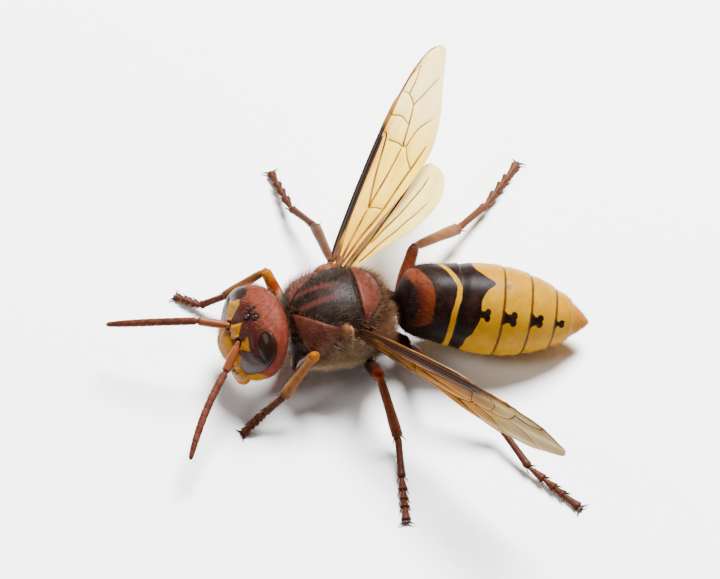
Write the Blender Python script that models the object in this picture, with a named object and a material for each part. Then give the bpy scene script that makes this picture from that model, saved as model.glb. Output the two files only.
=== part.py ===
"""A european hornet, life size, standing with one wing spread and the other folded on edge.

Lengths are in millimetres until a mesh is made. The face looks along -Y, the
insect's left is +X, up is +Z, and the floor is at height zero.
"""

import math

import bmesh
import bpy
import numpy as np
from mathutils import Matrix, Vector
from mathutils.geometry import delaunay_2d_cdt

MM = 0.001
GAP = 0.25

# Shift that brings the middle of the whole insect's box over the origin.
STANCE_SHIFT = (0.0, -0.8, 0.0)

# Colours, linear
RUST = (0.20, 0.040, 0.022, 1)
CHESTNUT = (0.10, 0.022, 0.012, 1)
BLACK_BROWN = (0.018, 0.010, 0.008, 1)
YELLOW = (0.76, 0.50, 0.06, 1)
LEG_ORANGE = (0.36, 0.13, 0.03, 1)
WING_AMBER = (0.62, 0.36, 0.10, 1)
EYE_BROWN = (0.05, 0.035, 0.03, 1)

# Head: height up its long axis, half width, face and nape depth, in its own frame
HEAD_PLACE = (0.10, -5.90, 4.79)
HEAD_YAW = 11
HEAD_TILT = 21
HEAD_SECTIONS = [
    (-2.75, 1.80, -1.35, -0.40),
    (-2.30, 2.65, -1.60, -0.05),
    (-1.50, 3.27, -1.75, 0.55),
    (-0.50, 3.55, -1.75, 1.10),
    (0.50, 3.47, -1.65, 1.40),
    (1.40, 3.10, -1.35, 1.50),
    (2.10, 2.45, -0.75, 1.42),
    (2.50, 1.75, -0.15, 1.22),
    (2.70, 0.90, 0.30, 0.90),
]
HEAD_WIDEST = 0.30
HEAD_SQUARENESS = 2.15
FACE_SHARE = 0.94

# Eye outline seen from the side: depth and height on the head
EYE_CENTRE = (-0.60, 0.30)
EYE_OUTLINE = [
    (-0.64, 1.95), (-0.26, 1.90), (-0.13, 1.25), (-0.32, 0.30), (-0.60, -0.60),
    (-0.92, -1.45), (-1.30, -1.80), (-1.54, -1.30), (-1.58, -0.50), (-1.43, 0.05),
    (-1.04, 0.38), (-1.18, 0.90), (-1.02, 1.50),
]
EYE_BULGE = 0.22
EYE_RINGS = [1.0, 0.85, 0.6, 0.3]
EYE_DEPTH = 0.55
SOCKET_REACH = 0.8

OCELLI = [(0.0, -1.22, 1.62), (0.42, -0.90, 1.97), (-0.42, -0.90, 1.97)]
OCELLUS_RADIUS = 0.17
CLYPEUS_PLACE = (0.0, -1.45, -1.55)
CLYPEUS_HALF_SIZE = (1.45, 0.62, 1.20)

# Jaw: from its hinge under the cheek to its toothed end, in the head's frame
JAW_POINTS = [(2.05, -0.70, -2.20), (1.80, -0.80, -2.95), (1.05, -0.85, -3.25), (0.30, -0.85, -3.30)]
JAW_HALF_SIZES = [(0.50, 0.40), (0.50, 0.42), (0.34, 0.34), (0.12, 0.14)]

# Feelers: lengths, and directions as heading and pitch in degrees
SOCKET = (0.85, -1.72, -0.15)
SCAPE_LENGTH = 2.3
SCAPE_SHAPE = [(0.0, 0.18), (0.25, 0.30), (0.80, 0.36), (1.0, 0.26)]
FEELER_RADIUS = 0.33
FEELER_JOINTS = 11
FEELER_WAIST = 0.86
FEELERS = {
    "left": {"scape": (41, -29), "whip": [(3.6, 40, -6), (3.7, 26, -18)]},
    "right": {"scape": (72, 7), "whip": [(3.5, 71, -10), (3.5, 65, -20)]},
}

# Thorax: place along the body, top and underside heights, half width
THORAX_CENTRE = -0.15
THORAX_SECTIONS = [
    (-4.10, 5.00, 3.40, 0.80),
    (-3.70, 5.75, 2.70, 1.90),
    (-3.00, 6.55, 2.15, 2.70),
    (-2.00, 7.15, 1.75, 3.15),
    (-0.60, 7.50, 1.55, 3.35),
    (0.80, 7.50, 1.55, 3.35),
    (2.00, 7.15, 1.65, 3.10),
    (3.00, 6.45, 1.95, 2.55),
    (3.60, 5.60, 2.45, 1.80),
    (3.95, 4.85, 3.00, 0.90),
]
THORAX_SQUARENESS = 2.25
COLLAR_END = -2.60
SHIELD_END = 1.45
NECK_RADIUS = 0.85
NECK_HEIGHT = 4.3
NECK_SUNK = 0.6
NECK_REACH = 1.4
TEGULA_PLACE = (2.72, 0.25, 6.25)
TEGULA_HALF_SIZE = (0.55, 0.75, 0.50)

# Abdomen: a turned form along a straight axis, cut into its rings
ABDOMEN_START = (-0.35, 4.90, 4.90)
ABDOMEN_HEADING = 13
ABDOMEN_DROP = 12.3
ABDOMEN_ROLL = 40
ABDOMEN_PROFILE = [
    (-1.10, 0.45), (-0.50, 0.50), (-0.20, 1.20), (0.05, 1.85), (0.55, 2.32), (1.60, 2.65),
    (2.80, 2.85), (4.20, 3.08), (5.60, 3.24), (7.00, 3.25), (8.20, 3.10), (9.30, 2.85),
    (10.30, 2.50), (11.20, 2.10), (12.00, 1.65), (12.80, 1.00), (13.45, 0.42), (13.75, 0.10),
]
RING_ENDS = [3.65, 6.85, 8.95, 10.85, 12.25]
RING_STEP = 0.06

# Legs: hip place, then length, heading and pitch of each part. Heading 0 points
# straight out from the side, 90 straight ahead; pitch is above the level.
LEGS = {
    "fore_left": {"hip": (1.25, -2.70, 2.60), "coxa": (1.4, 27, -30), "femur": (4.4, -25, 63),
                  "tibia": (4.1, 73, -50), "basitarsus": (1.8, 81, -38), "toes": (2.2, 76)},
    "fore_right": {"hip": (1.45, -2.50, 2.60), "coxa": (1.2, 27, -34), "femur": (3.9, 22, 43),
                   "tibia": (4.1, 81, -42), "basitarsus": (2.1, 73, -35), "toes": (2.1, 45)},
    "mid_left": {"hip": (1.50, 1.20, 2.40), "coxa": (1.3, -25, -20), "femur": (4.3, -2, 37),
                 "tibia": (4.6, -11, -46), "basitarsus": (3.1, 8, -13), "toes": (3.5, 8)},
    "mid_right": {"hip": (1.50, 1.20, 2.40), "coxa": (1.3, -25, -20), "femur": (3.6, 25, 50),
                  "tibia": (5.3, 1, -22), "basitarsus": (3.5, 20, -23), "toes": (4.6, 7)},
    "hind_left": {"hip": (1.35, 2.90, 2.50), "coxa": (2.2, -76, -17), "femur": (4.7, -4, 34),
                  "tibia": (6.6, -47, -26), "basitarsus": (4.0, -22, -14), "toes": (4.7, -35)},
    "hind_right": {"hip": (1.35, 2.90, 2.50), "coxa": (2.2, -76, -17), "femur": (4.4, -34, 38),
                   "tibia": (6.0, -52, -30), "basitarsus": (3.6, -49, -14), "toes": (4.9, -42)},
}
FOOT_HEIGHT = 0.20
COXA_RADIUS = {"fore": 0.72, "mid": 0.80, "hind": 0.85}
COXA_SUNK = 0.8
FEMUR_RADIUS = {"fore": 0.50, "mid": 0.50, "hind": 0.52}
TIBIA_RADIUS = {"fore": 0.34, "mid": 0.36, "hind": 0.40}
TOE_RADIUS = 0.25
# Each shape is the share of the length and the share of the radius there
FEMUR_SHAPE = [(0.0, 0.55), (0.15, 0.80), (0.45, 1.00), (0.80, 0.85), (1.0, 0.62)]
TIBIA_SHAPE = [(0.0, 0.75), (0.12, 0.85), (0.55, 1.00), (0.92, 1.10), (1.0, 0.80)]
BASITARSUS_SHAPE = [(0.0, 0.70), (0.5, 0.80), (1.0, 1.15)]
TOE_SHAPE = [(0.12, 0.70), (0.90, 1.12)]
TOE_ENDS = [0.0, 0.30, 0.52, 0.70, 1.0]
TOE_TIP = 0.25
SPUR_LENGTH = 0.75
SPUR_SPREAD = 0.9
CLAW_LENGTH = 0.85
CLAW_RADIUS = 0.12
TOE_SPINE_LENGTH = 0.50
TOE_SPINE_RADIUS = 0.10
TOE_SPINE_SPREAD = 0.45

# Wings: root, sweep behind the side, rise and twist in degrees
WING_ROOTS = {"left": (2.95, 0.85, 6.10), "right": (-3.15, 0.85, 6.10)}
WING_SWEEP = 35.5
WING_RISE = 10.5
WING_TWIST = {"left": -90, "right": 0}
MEMBRANE_THICKNESS = 0.5
VEIN_HEIGHT = 0.16
VEIN_SPACING = 1.6
OUTLINE_SPACING = 1.8
HINDWING_LIFT = 0.95
# Outlines in distance from the root and distance behind the leading line
FOREWING_LEADING = [(0.20, -0.45), (1.20, -0.80), (3.60, -1.00), (6.90, -1.18), (12.9, -1.32), (16.9, -1.00)]
FOREWING_TIP = [(18.7, -0.55), (19.6, 0.05), (19.4, 0.62), (18.2, 1.05)]
FOREWING_FOLD = {
    "right": [(16.3, 1.60), (13.8, 2.40), (10.9, 2.80), (7.50, 2.25), (4.00, 1.25), (1.20, 0.55), (0.20, 0.35)],
    "left": [(16.3, 1.75), (13.8, 1.95), (12.3, 2.05), (8.70, 1.35), (5.50, 0.85), (1.20, 0.50), (0.20, 0.35)],
}
HINDWING_OUTLINE = {
    "right": [(0.40, 0.35), (3.00, 0.95), (6.00, 1.60), (8.80, 2.05), (10.4, 2.65), (10.5, 3.45), (9.80, 4.25),
              (7.90, 4.65), (5.30, 3.90), (2.30, 1.95), (0.40, 0.95)],
    "left": [(0.40, 0.10), (1.30, -0.10), (4.50, -0.45), (7.50, -0.65), (9.60, -0.65), (10.3, -0.20),
             (9.60, 0.50), (7.50, 0.95), (4.50, 0.85), (1.30, 0.75), (0.40, 0.55)],
}
FOREWING_VEINS = [
    (0.22, [(0.30, -0.30), (3.60, -0.72), (6.90, -0.92), (11.4, -1.02), (14.6, -1.05)]),
    (0.18, [(0.30, -0.02), (2.60, 0.05), (5.30, 0.22), (8.00, -0.30), (11.1, -0.75)]),
    (0.15, [(5.30, 0.22), (8.00, 0.50), (10.8, 0.65), (14.2, 0.12), (15.0, -0.60)]),
    (0.15, [(0.30, 0.12), (2.80, 0.60), (5.60, 1.20), (9.20, 1.70), (10.9, 0.72)]),
    (0.13, [(14.9, -1.00), (16.4, -0.95), (17.6, -0.50)]),
]
HINDWING_VEINS = {
    "right": [(0.16, [(0.60, 0.60), (3.00, 1.30), (6.00, 2.05), (8.90, 2.65)]),
              (0.13, [(3.00, 1.30), (5.00, 2.70), (7.60, 3.80)])],
    "left": [(0.16, [(0.60, 0.30), (3.00, 0.10), (6.00, -0.10), (9.00, -0.25)])],
}


def clear_scene():
    for thing in list(bpy.data.objects):
        bpy.data.objects.remove(thing, do_unlink=True)


def finish(name, colour, roughness=0.35):
    """One Principled material with a colour and a roughness."""
    material = bpy.data.materials.new(name)
    material.use_nodes = True
    shader = material.node_tree.nodes["Principled BSDF"]
    shader.inputs["Base Color"].default_value = colour
    shader.inputs["Roughness"].default_value = roughness
    shader.inputs["Metallic"].default_value = 0.0
    return material


def empty(name, place, turn, parent=None):
    """An empty that holds a pose; its children are modelled in its frame."""
    holder = bpy.data.objects.new(name, None)
    holder.location = Vector(place) * MM
    holder.rotation_mode = "QUATERNION"
    holder.rotation_quaternion = turn.to_quaternion()
    holder.parent = parent
    bpy.context.scene.collection.objects.link(holder)
    return holder


def solid(name, points, faces, material=None, parent=None):
    """An object from points in millimetres, with its faces turned outward."""
    mesh = bpy.data.meshes.new(name)
    mesh.from_pydata([Vector(point) * MM for point in points], [], faces)
    body = bmesh.new()
    body.from_mesh(mesh)
    bmesh.ops.recalc_face_normals(body, faces=body.faces)
    body.to_mesh(mesh)
    body.free()
    if material:
        mesh.materials.append(material)
    thing = bpy.data.objects.new(name, mesh)
    thing.parent = parent
    bpy.context.scene.collection.objects.link(thing)
    return thing


def loft(name, rings, material=None, parent=None):
    """A closed body through rings that all have the same number of points."""
    sides = len(rings[0])
    points = [point for ring in rings for point in ring]
    faces = []
    for level in range(len(rings) - 1):
        for side in range(sides):
            after = (side + 1) % sides
            low = level * sides
            high = low + sides
            faces.append((low + side, low + after, high + after, high + side))
    faces.append(tuple(range(sides)))
    faces.append(tuple(range(len(points) - sides, len(points))))
    return solid(name, points, faces, material, parent)


def tube(name, path, half_sizes, sides, material=None, parent=None, up=(0, 0, 1), grow=0.0):
    """A loft of ellipses along a path; each ellipse has a half width and a half height."""
    rings = []
    path = [Vector(point) for point in path]
    path[0] = path[0] + (path[0] - path[1]).normalized() * grow
    path[-1] = path[-1] + (path[-1] - path[-2]).normalized() * grow
    for index, place in enumerate(path):
        before = path[max(index - 1, 0)]
        after = path[min(index + 1, len(path) - 1)]
        along = (after - before).normalized()
        side = along.cross(Vector(up)).normalized()
        top = side.cross(along)
        wide = half_sizes[index][0] + grow
        high = half_sizes[index][1] + grow
        ring = []
        for step in range(sides):
            angle = 2 * math.pi * (step + 0.5) / sides
            ring.append(place + side * wide * math.cos(angle) + top * high * math.sin(angle))
        rings.append(ring)
    return loft(name, rings, material, parent)


def ball(name, place, half_size, segments=16, rings=10, material=None, parent=None):
    """A stretched sphere."""
    mesh = bpy.data.meshes.new(name)
    body = bmesh.new()
    stretch = Matrix.Translation(Vector(place) * MM) @ Matrix.Diagonal((*[size * MM for size in half_size], 1))
    bmesh.ops.create_uvsphere(body, u_segments=segments, v_segments=rings, radius=1, matrix=stretch)
    body.to_mesh(mesh)
    body.free()
    if material:
        mesh.materials.append(material)
    thing = bpy.data.objects.new(name, mesh)
    thing.parent = parent
    bpy.context.scene.collection.objects.link(thing)
    return thing


def keep_largest(mesh):
    """Keep the closed surface with the most faces and drop any loose scrap."""
    body = bmesh.new()
    body.from_mesh(mesh)
    waiting = set(body.faces)
    groups = []
    while waiting:
        front = [waiting.pop()]
        group = set(front)
        while front:
            face = front.pop()
            for edge in face.edges:
                for neighbour in edge.link_faces:
                    if neighbour in waiting:
                        waiting.remove(neighbour)
                        group.add(neighbour)
                        front.append(neighbour)
        groups.append(group)
    if len(groups) > 1:
        largest = max(groups, key=len)
        loose = [face for face in body.faces if face not in largest]
        bmesh.ops.delete(body, geom=loose, context="FACES")
    body.to_mesh(mesh)
    body.free()


def combine(target, tools, operation):
    """Union with or difference from a collection of closed objects, applied; the tools are removed."""
    group = bpy.data.collections.new(target.name + "_tools")
    bpy.context.scene.collection.children.link(group)
    for tool in tools:
        bpy.context.scene.collection.objects.unlink(tool)
        group.objects.link(tool)
    modifier = target.modifiers.new("combine", "BOOLEAN")
    modifier.operand_type = "COLLECTION"
    modifier.collection = group
    modifier.operation = operation
    modifier.solver = "EXACT"
    bpy.context.view_layer.update()
    graph = bpy.context.evaluated_depsgraph_get()
    joined = bpy.data.meshes.new_from_object(target.evaluated_get(graph))
    target.modifiers.clear()
    target.data = joined
    for tool in tools:
        bpy.data.objects.remove(tool, do_unlink=True)
    bpy.data.collections.remove(group)
    keep_largest(joined)


def smooth(table, where, column):
    """Read one column of a table at a place, on a smooth curve through its rows."""
    keys = np.array([row[0] for row in table])
    values = np.array([row[column] for row in table])
    slopes = np.gradient(values, keys)
    step = int(np.clip(np.searchsorted(keys, where) - 1, 0, len(keys) - 2))
    width = keys[step + 1] - keys[step]
    part = (where - keys[step]) / width
    rise = values[step + 1] - values[step]
    ease = part * part * (3 - 2 * part)
    start = (part ** 3 - 2 * part ** 2 + part) * width * slopes[step]
    end = (part ** 3 - part ** 2) * width * slopes[step + 1]
    return values[step] + rise * ease + start + end


def rounded(angle, power):
    """A point of a unit superellipse at an angle."""
    across = math.copysign(abs(math.cos(angle)) ** (2 / power), math.cos(angle))
    upward = math.copysign(abs(math.sin(angle)) ** (2 / power), math.sin(angle))
    return across, upward


def direction(side, heading, pitch):
    """The unit vector of a heading and a pitch on the left (+1) or the right (-1)."""
    level = math.cos(math.radians(pitch))
    out = side * level * math.cos(math.radians(heading))
    ahead = -level * math.sin(math.radians(heading))
    return Vector((out, ahead, math.sin(math.radians(pitch))))


def head_rings(grow=0.0):
    rings = []
    for height, half_width, face, nape in HEAD_SECTIONS:
        height = height + grow * height / HEAD_SECTIONS[-1][0]
        middle = min(max(HEAD_WIDEST, face + 0.4), nape - 0.4)
        ring = []
        for step in range(24):
            across, deep = rounded(2 * math.pi * step / 24, HEAD_SQUARENESS)
            reach = nape - middle + grow if deep > 0 else middle - face + grow
            ring.append((across * (half_width + grow), middle + deep * reach, height))
        rings.append(ring)
    return rings


def head_side(depth, height):
    """Half width of the head where a line at this depth and height meets its side."""
    half_width = smooth(HEAD_SECTIONS, height, 1)
    face = smooth(HEAD_SECTIONS, height, 2)
    nape = smooth(HEAD_SECTIONS, height, 3)
    middle = min(max(HEAD_WIDEST, face + 0.4), nape - 0.4)
    reach = nape - middle if depth > middle else middle - face
    share = min(abs(depth - middle) / reach, FACE_SHARE)
    return half_width * (1 - share ** HEAD_SQUARENESS) ** (1 / HEAD_SQUARENESS)


def eye(name, side, grow, raised, depth, material=None, parent=None):
    """A kidney-shaped lens that follows the side of the head."""
    centre = Vector(EYE_CENTRE)
    outline = []
    for deep, high in EYE_OUTLINE:
        spoke = Vector((deep, high)) - centre
        outline.append(centre + spoke * (1 + grow / spoke.length))
    shares = EYE_RINGS
    points = []
    faces = []
    count = len(outline)
    for share in shares:
        for rim in outline:
            deep, high = centre + (rim - centre) * share
            lift = raised + EYE_BULGE * (1 - share ** 3)
            points.append((side * (head_side(deep, high) + lift), deep, high))
    points.append((side * (head_side(*centre) + raised + EYE_BULGE), *centre))
    inner = len(points)
    for rim in outline:
        points.append((side * (head_side(*rim) - depth), *rim))
    points.append((side * (head_side(*centre) - depth), *centre))
    for level in range(len(shares) - 1):
        for step in range(count):
            after = (step + 1) % count
            low = level * count
            high = low + count
            faces.append((low + step, low + after, high + after, high + step))
    last = (len(shares) - 1) * count
    for step in range(count):
        after = (step + 1) % count
        faces.append((last + step, last + after, len(shares) * count))
        faces.append((step, after, inner + after, inner + step))
        faces.append((inner + step, inner + after, inner + count))
    return solid(name, points, faces, material, parent)


def make_head(stance, finishes):
    turn = Matrix.Rotation(math.radians(HEAD_YAW), 3, "Z") @ Matrix.Rotation(math.radians(-HEAD_TILT), 3, "X")
    pose = empty("head_pose", HEAD_PLACE, turn, stance)
    head = loft("head", head_rings(), finishes["rust"], pose)
    for side, label in ((1, "left"), (-1, "right")):
        socket = eye("socket", side, GAP, SOCKET_REACH, EYE_DEPTH + GAP, parent=pose)
        combine(head, [socket], "DIFFERENCE")
        eye("eye_" + label, side, 0.0, 0.0, EYE_DEPTH, finishes["eye"], pose)
        path = [(side * x, y, z) for x, y, z in JAW_POINTS]
        jaw = tube("mandible_" + label, path, JAW_HALF_SIZES, 8, finishes["yellow"], pose, up=(0, 1, 0))
        grown = loft("grown_head", head_rings(GAP), parent=pose)
        grown_clypeus = ball("grown_clypeus", CLYPEUS_PLACE, [size + GAP for size in CLYPEUS_HALF_SIZE], 14, 8,
                             parent=pose)
        combine(jaw, [grown, grown_clypeus], "DIFFERENCE")
    clypeus = ball("clypeus", CLYPEUS_PLACE, CLYPEUS_HALF_SIZE, 14, 8, parent=pose)
    domes = [ball("ocellus", place, [OCELLUS_RADIUS] * 3, 8, 5, parent=pose) for place in OCELLI]
    combine(head, [clypeus, *domes], "UNION")
    return pose, turn


def make_feelers(turn, stance, finishes):
    for side, label in ((1, "left"), (-1, "right")):
        socket = Vector((side * SOCKET[0], SOCKET[1], SOCKET[2]))
        root = Vector(HEAD_PLACE) + turn @ socket
        way = direction(side, *FEELERS[label]["scape"])
        start = root + way * GAP
        elbow = root + way * SCAPE_LENGTH
        tube("scape_" + label, [start.lerp(elbow, share) for share, radius in SCAPE_SHAPE],
             [(radius, radius) for share, radius in SCAPE_SHAPE], 8, finishes["orange"], stance)
        bends = [elbow + way * GAP]
        for length, heading, pitch in FEELERS[label]["whip"]:
            bends.append(bends[-1] + direction(side, heading, pitch) * length)
        path = []
        half_sizes = []
        for step in range(2 * FEELER_JOINTS + 1):
            share = step / (2 * FEELER_JOINTS)
            first = bends[0].lerp(bends[1], share)
            second = bends[1].lerp(bends[2], share)
            path.append(first.lerp(second, share))
            radius = FEELER_RADIUS * (1 - 0.45 * share ** 6)
            if step % 2 == 0:
                radius *= FEELER_WAIST
            half_sizes.append((radius, radius))
        tube("flagellum_" + label, path, half_sizes, 8, finishes["rust"], stance)


def thorax_rings(start, end, grow=0.0):
    """Rings of the thorax between two places along the body, ends included."""
    between = [row[0] for row in THORAX_SECTIONS if start + 0.2 < row[0] < end - 0.2]
    rings = []
    for place in [start, *between, end]:
        top = smooth(THORAX_SECTIONS, place, 1) + grow
        under = smooth(THORAX_SECTIONS, place, 2) - grow
        half_width = smooth(THORAX_SECTIONS, place, 3) + grow
        ring = []
        for step in range(24):
            across, upward = rounded(2 * math.pi * step / 24, THORAX_SQUARENESS)
            height = (top + under) / 2 + upward * (top - under) / 2
            ring.append((THORAX_CENTRE + across * half_width, place, height))
        rings.append(ring)
    return rings


def grown_thorax(stance):
    first = THORAX_SECTIONS[0][0]
    last = THORAX_SECTIONS[-1][0]
    rings = thorax_rings(first, last, GAP)
    rings[0] = [(x, y - GAP, z) for x, y, z in rings[0]]
    rings[-1] = [(x, y + GAP, z) for x, y, z in rings[-1]]
    return loft("grown_thorax", rings, parent=stance)


def make_thorax(stance, head_pose, finishes):
    first = THORAX_SECTIONS[0][0]
    last = THORAX_SECTIONS[-1][0]
    half = GAP / 2
    collar = loft("prothorax", thorax_rings(first, COLLAR_END - half), finishes["rust"], stance)
    neck_path = [(THORAX_CENTRE, first + NECK_SUNK, NECK_HEIGHT), (THORAX_CENTRE, first - NECK_REACH, NECK_HEIGHT)]
    neck = tube("neck", neck_path, [(NECK_RADIUS, NECK_RADIUS)] * 2, 12, parent=stance)
    combine(collar, [neck], "UNION")
    combine(collar, [loft("grown_head", head_rings(GAP), parent=head_pose)], "DIFFERENCE")
    loft("mesothorax", thorax_rings(COLLAR_END + half, SHIELD_END - half), finishes["chestnut"], stance)
    loft("metathorax", thorax_rings(SHIELD_END + half, last), finishes["rust"], stance)
    for side, label in ((1, "left"), (-1, "right")):
        place = (THORAX_CENTRE + side * TEGULA_PLACE[0], TEGULA_PLACE[1], TEGULA_PLACE[2])
        cap = ball("tegula_" + label, place, TEGULA_HALF_SIZE, 12, 8, finishes["orange"], stance)
        combine(cap, [grown_thorax(stance)], "DIFFERENCE")


def make_abdomen(stance, finishes):
    turn = (Matrix.Rotation(math.radians(-ABDOMEN_HEADING), 3, "Z")
            @ Matrix.Rotation(math.radians(-ABDOMEN_DROP), 3, "X")
            @ Matrix.Rotation(math.radians(ABDOMEN_ROLL), 3, "Y"))
    pose = empty("abdomen_pose", ABDOMEN_START, turn, stance)
    tip = ABDOMEN_PROFILE[-1][0]
    starts = [ABDOMEN_PROFILE[0][0], *RING_ENDS]
    ends = [*RING_ENDS, tip]
    colours = ["chestnut", "yellow", "yellow", "yellow", "yellow", "yellow"]
    for number, (start, end) in enumerate(zip(starts, ends)):
        first = start if number == 0 else start + GAP / 2
        last = end if end == tip else end - GAP / 2
        between = [row[0] for row in ABDOMEN_PROFILE if first + 0.15 < row[0] < last - 0.15]
        stations = [first, *between, last]
        rings = []
        for place in stations:
            radius = smooth(ABDOMEN_PROFILE, place, 1)
            if number > 0 and place == first:
                radius -= RING_STEP
            ring = []
            for step in range(24):
                angle = 2 * math.pi * step / 24
                ring.append((radius * math.cos(angle), place, radius * math.sin(angle)))
            rings.append(ring)
        part = loft(f"abdomen_{number + 1}", rings, finishes[colours[number]], pose)
        if number == 0:
            combine(part, [grown_thorax(stance)], "DIFFERENCE")


def cut_flat(thing):
    """Cut away what would reach below the floor and close the cut with a flat face."""
    body = bmesh.new()
    body.from_mesh(thing.data)
    everything = body.verts[:] + body.edges[:] + body.faces[:]
    bmesh.ops.bisect_plane(body, geom=everything, plane_co=(0, 0, 0), plane_no=(0, 0, -1), clear_outer=True)
    rim = [edge for edge in body.edges if edge.is_boundary]
    if rim:
        bmesh.ops.holes_fill(body, edges=rim, sides=0)
    bmesh.ops.recalc_face_normals(body, faces=body.faces)
    body.to_mesh(thing.data)
    body.free()


def spine(root, way, length, radius, sides=5, parent=None):
    """A tapered spine from its sunk root to its point."""
    way = way.normalized()
    start = root - way * radius
    tip = root + way * length
    return tube("spine", [start, root.lerp(tip, 0.5), tip],
                [(radius, radius), (radius * 0.62, radius * 0.62), (radius * 0.1, radius * 0.1)], sides,
                parent=parent, up=(0.1, 0.2, 0.97))


def make_leg(name, plan, stance, finishes):
    pair, label = name.split("_")
    side = 1 if label == "left" else -1
    hip = Vector((THORAX_CENTRE + side * plan["hip"][0], plan["hip"][1], plan["hip"][2]))
    turns = {part: direction(side, *plan[part][1:]) for part in ("coxa", "femur", "tibia", "basitarsus")}
    hinge = hip + turns["coxa"] * plan["coxa"][0]
    knee = hinge + turns["femur"] * plan["femur"][0]
    ankle = knee + turns["tibia"] * plan["tibia"][0]
    ball_joint = ankle + turns["basitarsus"] * plan["basitarsus"][0]
    drop = math.degrees(math.asin((FOOT_HEIGHT - ball_joint.z) / plan["toes"][0]))
    toe_way = direction(side, plan["toes"][1], drop)
    foot = ball_joint + toe_way * plan["toes"][0]

    wide = COXA_RADIUS[pair]
    coxa_path = [hip - turns["coxa"] * COXA_SUNK, hip.lerp(hinge, 0.25), hinge]
    coxa_sizes = [(wide, wide), (wide, wide), (wide * 0.6, wide * 0.6)]
    coxa = tube("coxa_" + name, coxa_path, coxa_sizes, 10, finishes["dark"], stance)
    combine(coxa, [grown_thorax(stance)], "DIFFERENCE")

    wide = FEMUR_RADIUS[pair]
    femur_path = [hinge.lerp(knee, share) for share, size in FEMUR_SHAPE]
    femur_sizes = [(wide * size, wide * size) for share, size in FEMUR_SHAPE]
    femur = tube("femur_" + name, femur_path, femur_sizes, 8, finishes["rust"], stance)
    combine(femur, [tube("grown_coxa", coxa_path, coxa_sizes, 10, parent=stance, grow=GAP),
                    grown_thorax(stance)], "DIFFERENCE")

    wide = TIBIA_RADIUS[pair]
    end = ankle - turns["tibia"] * GAP / 2
    tibia = tube("tibia_" + name, [knee.lerp(end, share) for share, size in TIBIA_SHAPE],
                 [(wide * size, wide * size) for share, size in TIBIA_SHAPE], 8, finishes["orange"], stance)
    combine(tibia, [tube("grown_femur", femur_path, femur_sizes, 8, parent=stance, grow=GAP)], "DIFFERENCE")
    across = turns["tibia"].cross(Vector((0, 0, 1))).normalized()
    spurs = []
    for hand in ((-1, 1) if pair != "fore" else (1,)):
        root = end + across * hand * wide * 0.6 - turns["tibia"] * CLAW_RADIUS
        way = turns["tibia"] + across * hand * SPUR_SPREAD
        spurs.append(spine(root, way, SPUR_LENGTH, CLAW_RADIUS, parent=stance))
    combine(tibia, spurs, "UNION")

    start = ankle + turns["basitarsus"] * GAP / 2
    path = [start.lerp(ball_joint, share) for share, size in BASITARSUS_SHAPE]
    sizes = [size for share, size in BASITARSUS_SHAPE]
    for low, high in zip(TOE_ENDS, TOE_ENDS[1:]):
        for share, size in TOE_SHAPE:
            path.append(ball_joint.lerp(foot, low + (high - low) * share))
            sizes.append(size)
    path.append(foot + toe_way * TOE_TIP)
    sizes.append(0.80)
    tarsus = tube("tarsus_" + name, path, [(TOE_RADIUS * size, TOE_RADIUS * size) for size in sizes], 8,
                  finishes["rust"], stance)
    across = toe_way.cross(Vector((0, 0, 1))).normalized()
    extras = []
    for hand in (-1, 1):
        claw_way = toe_way * 0.55 + across * hand * 0.9 + Vector((0, 0, -0.05))
        extras.append(spine(foot + across * hand * 0.08, claw_way, CLAW_LENGTH, CLAW_RADIUS, parent=stance))
        for share in TOE_ENDS[:3]:
            root = ball_joint.lerp(foot, share) + across * hand * TOE_RADIUS * 0.7 - toe_way * TOE_SPINE_RADIUS * 1.5
            way = toe_way + across * hand * TOE_SPINE_SPREAD
            extras.append(spine(root, way, TOE_SPINE_LENGTH, TOE_SPINE_RADIUS, parent=stance))
    combine(tarsus, extras, "UNION")
    cut_flat(tarsus)


def curve(points, spacing):
    """Points along a Catmull-Rom curve through the given ones, about one every spacing."""
    stops = [Vector(point) for point in points]
    ends = [stops[0] * 2 - stops[1], *stops, stops[-1] * 2 - stops[-2]]
    found = []
    for index in range(len(stops) - 1):
        before, start, end, after = ends[index:index + 4]
        steps = max(1, round((end - start).length / spacing))
        for step in range(steps):
            part = step / steps
            bend = (start * 2 + (end - before) * part
                    + (before * 2 - start * 5 + end * 4 - after) * part ** 2
                    + (start * 3 - before - end * 3 + after) * part ** 3)
            found.append(bend * 0.5)
    found.append(stops[-1])
    return found


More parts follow.
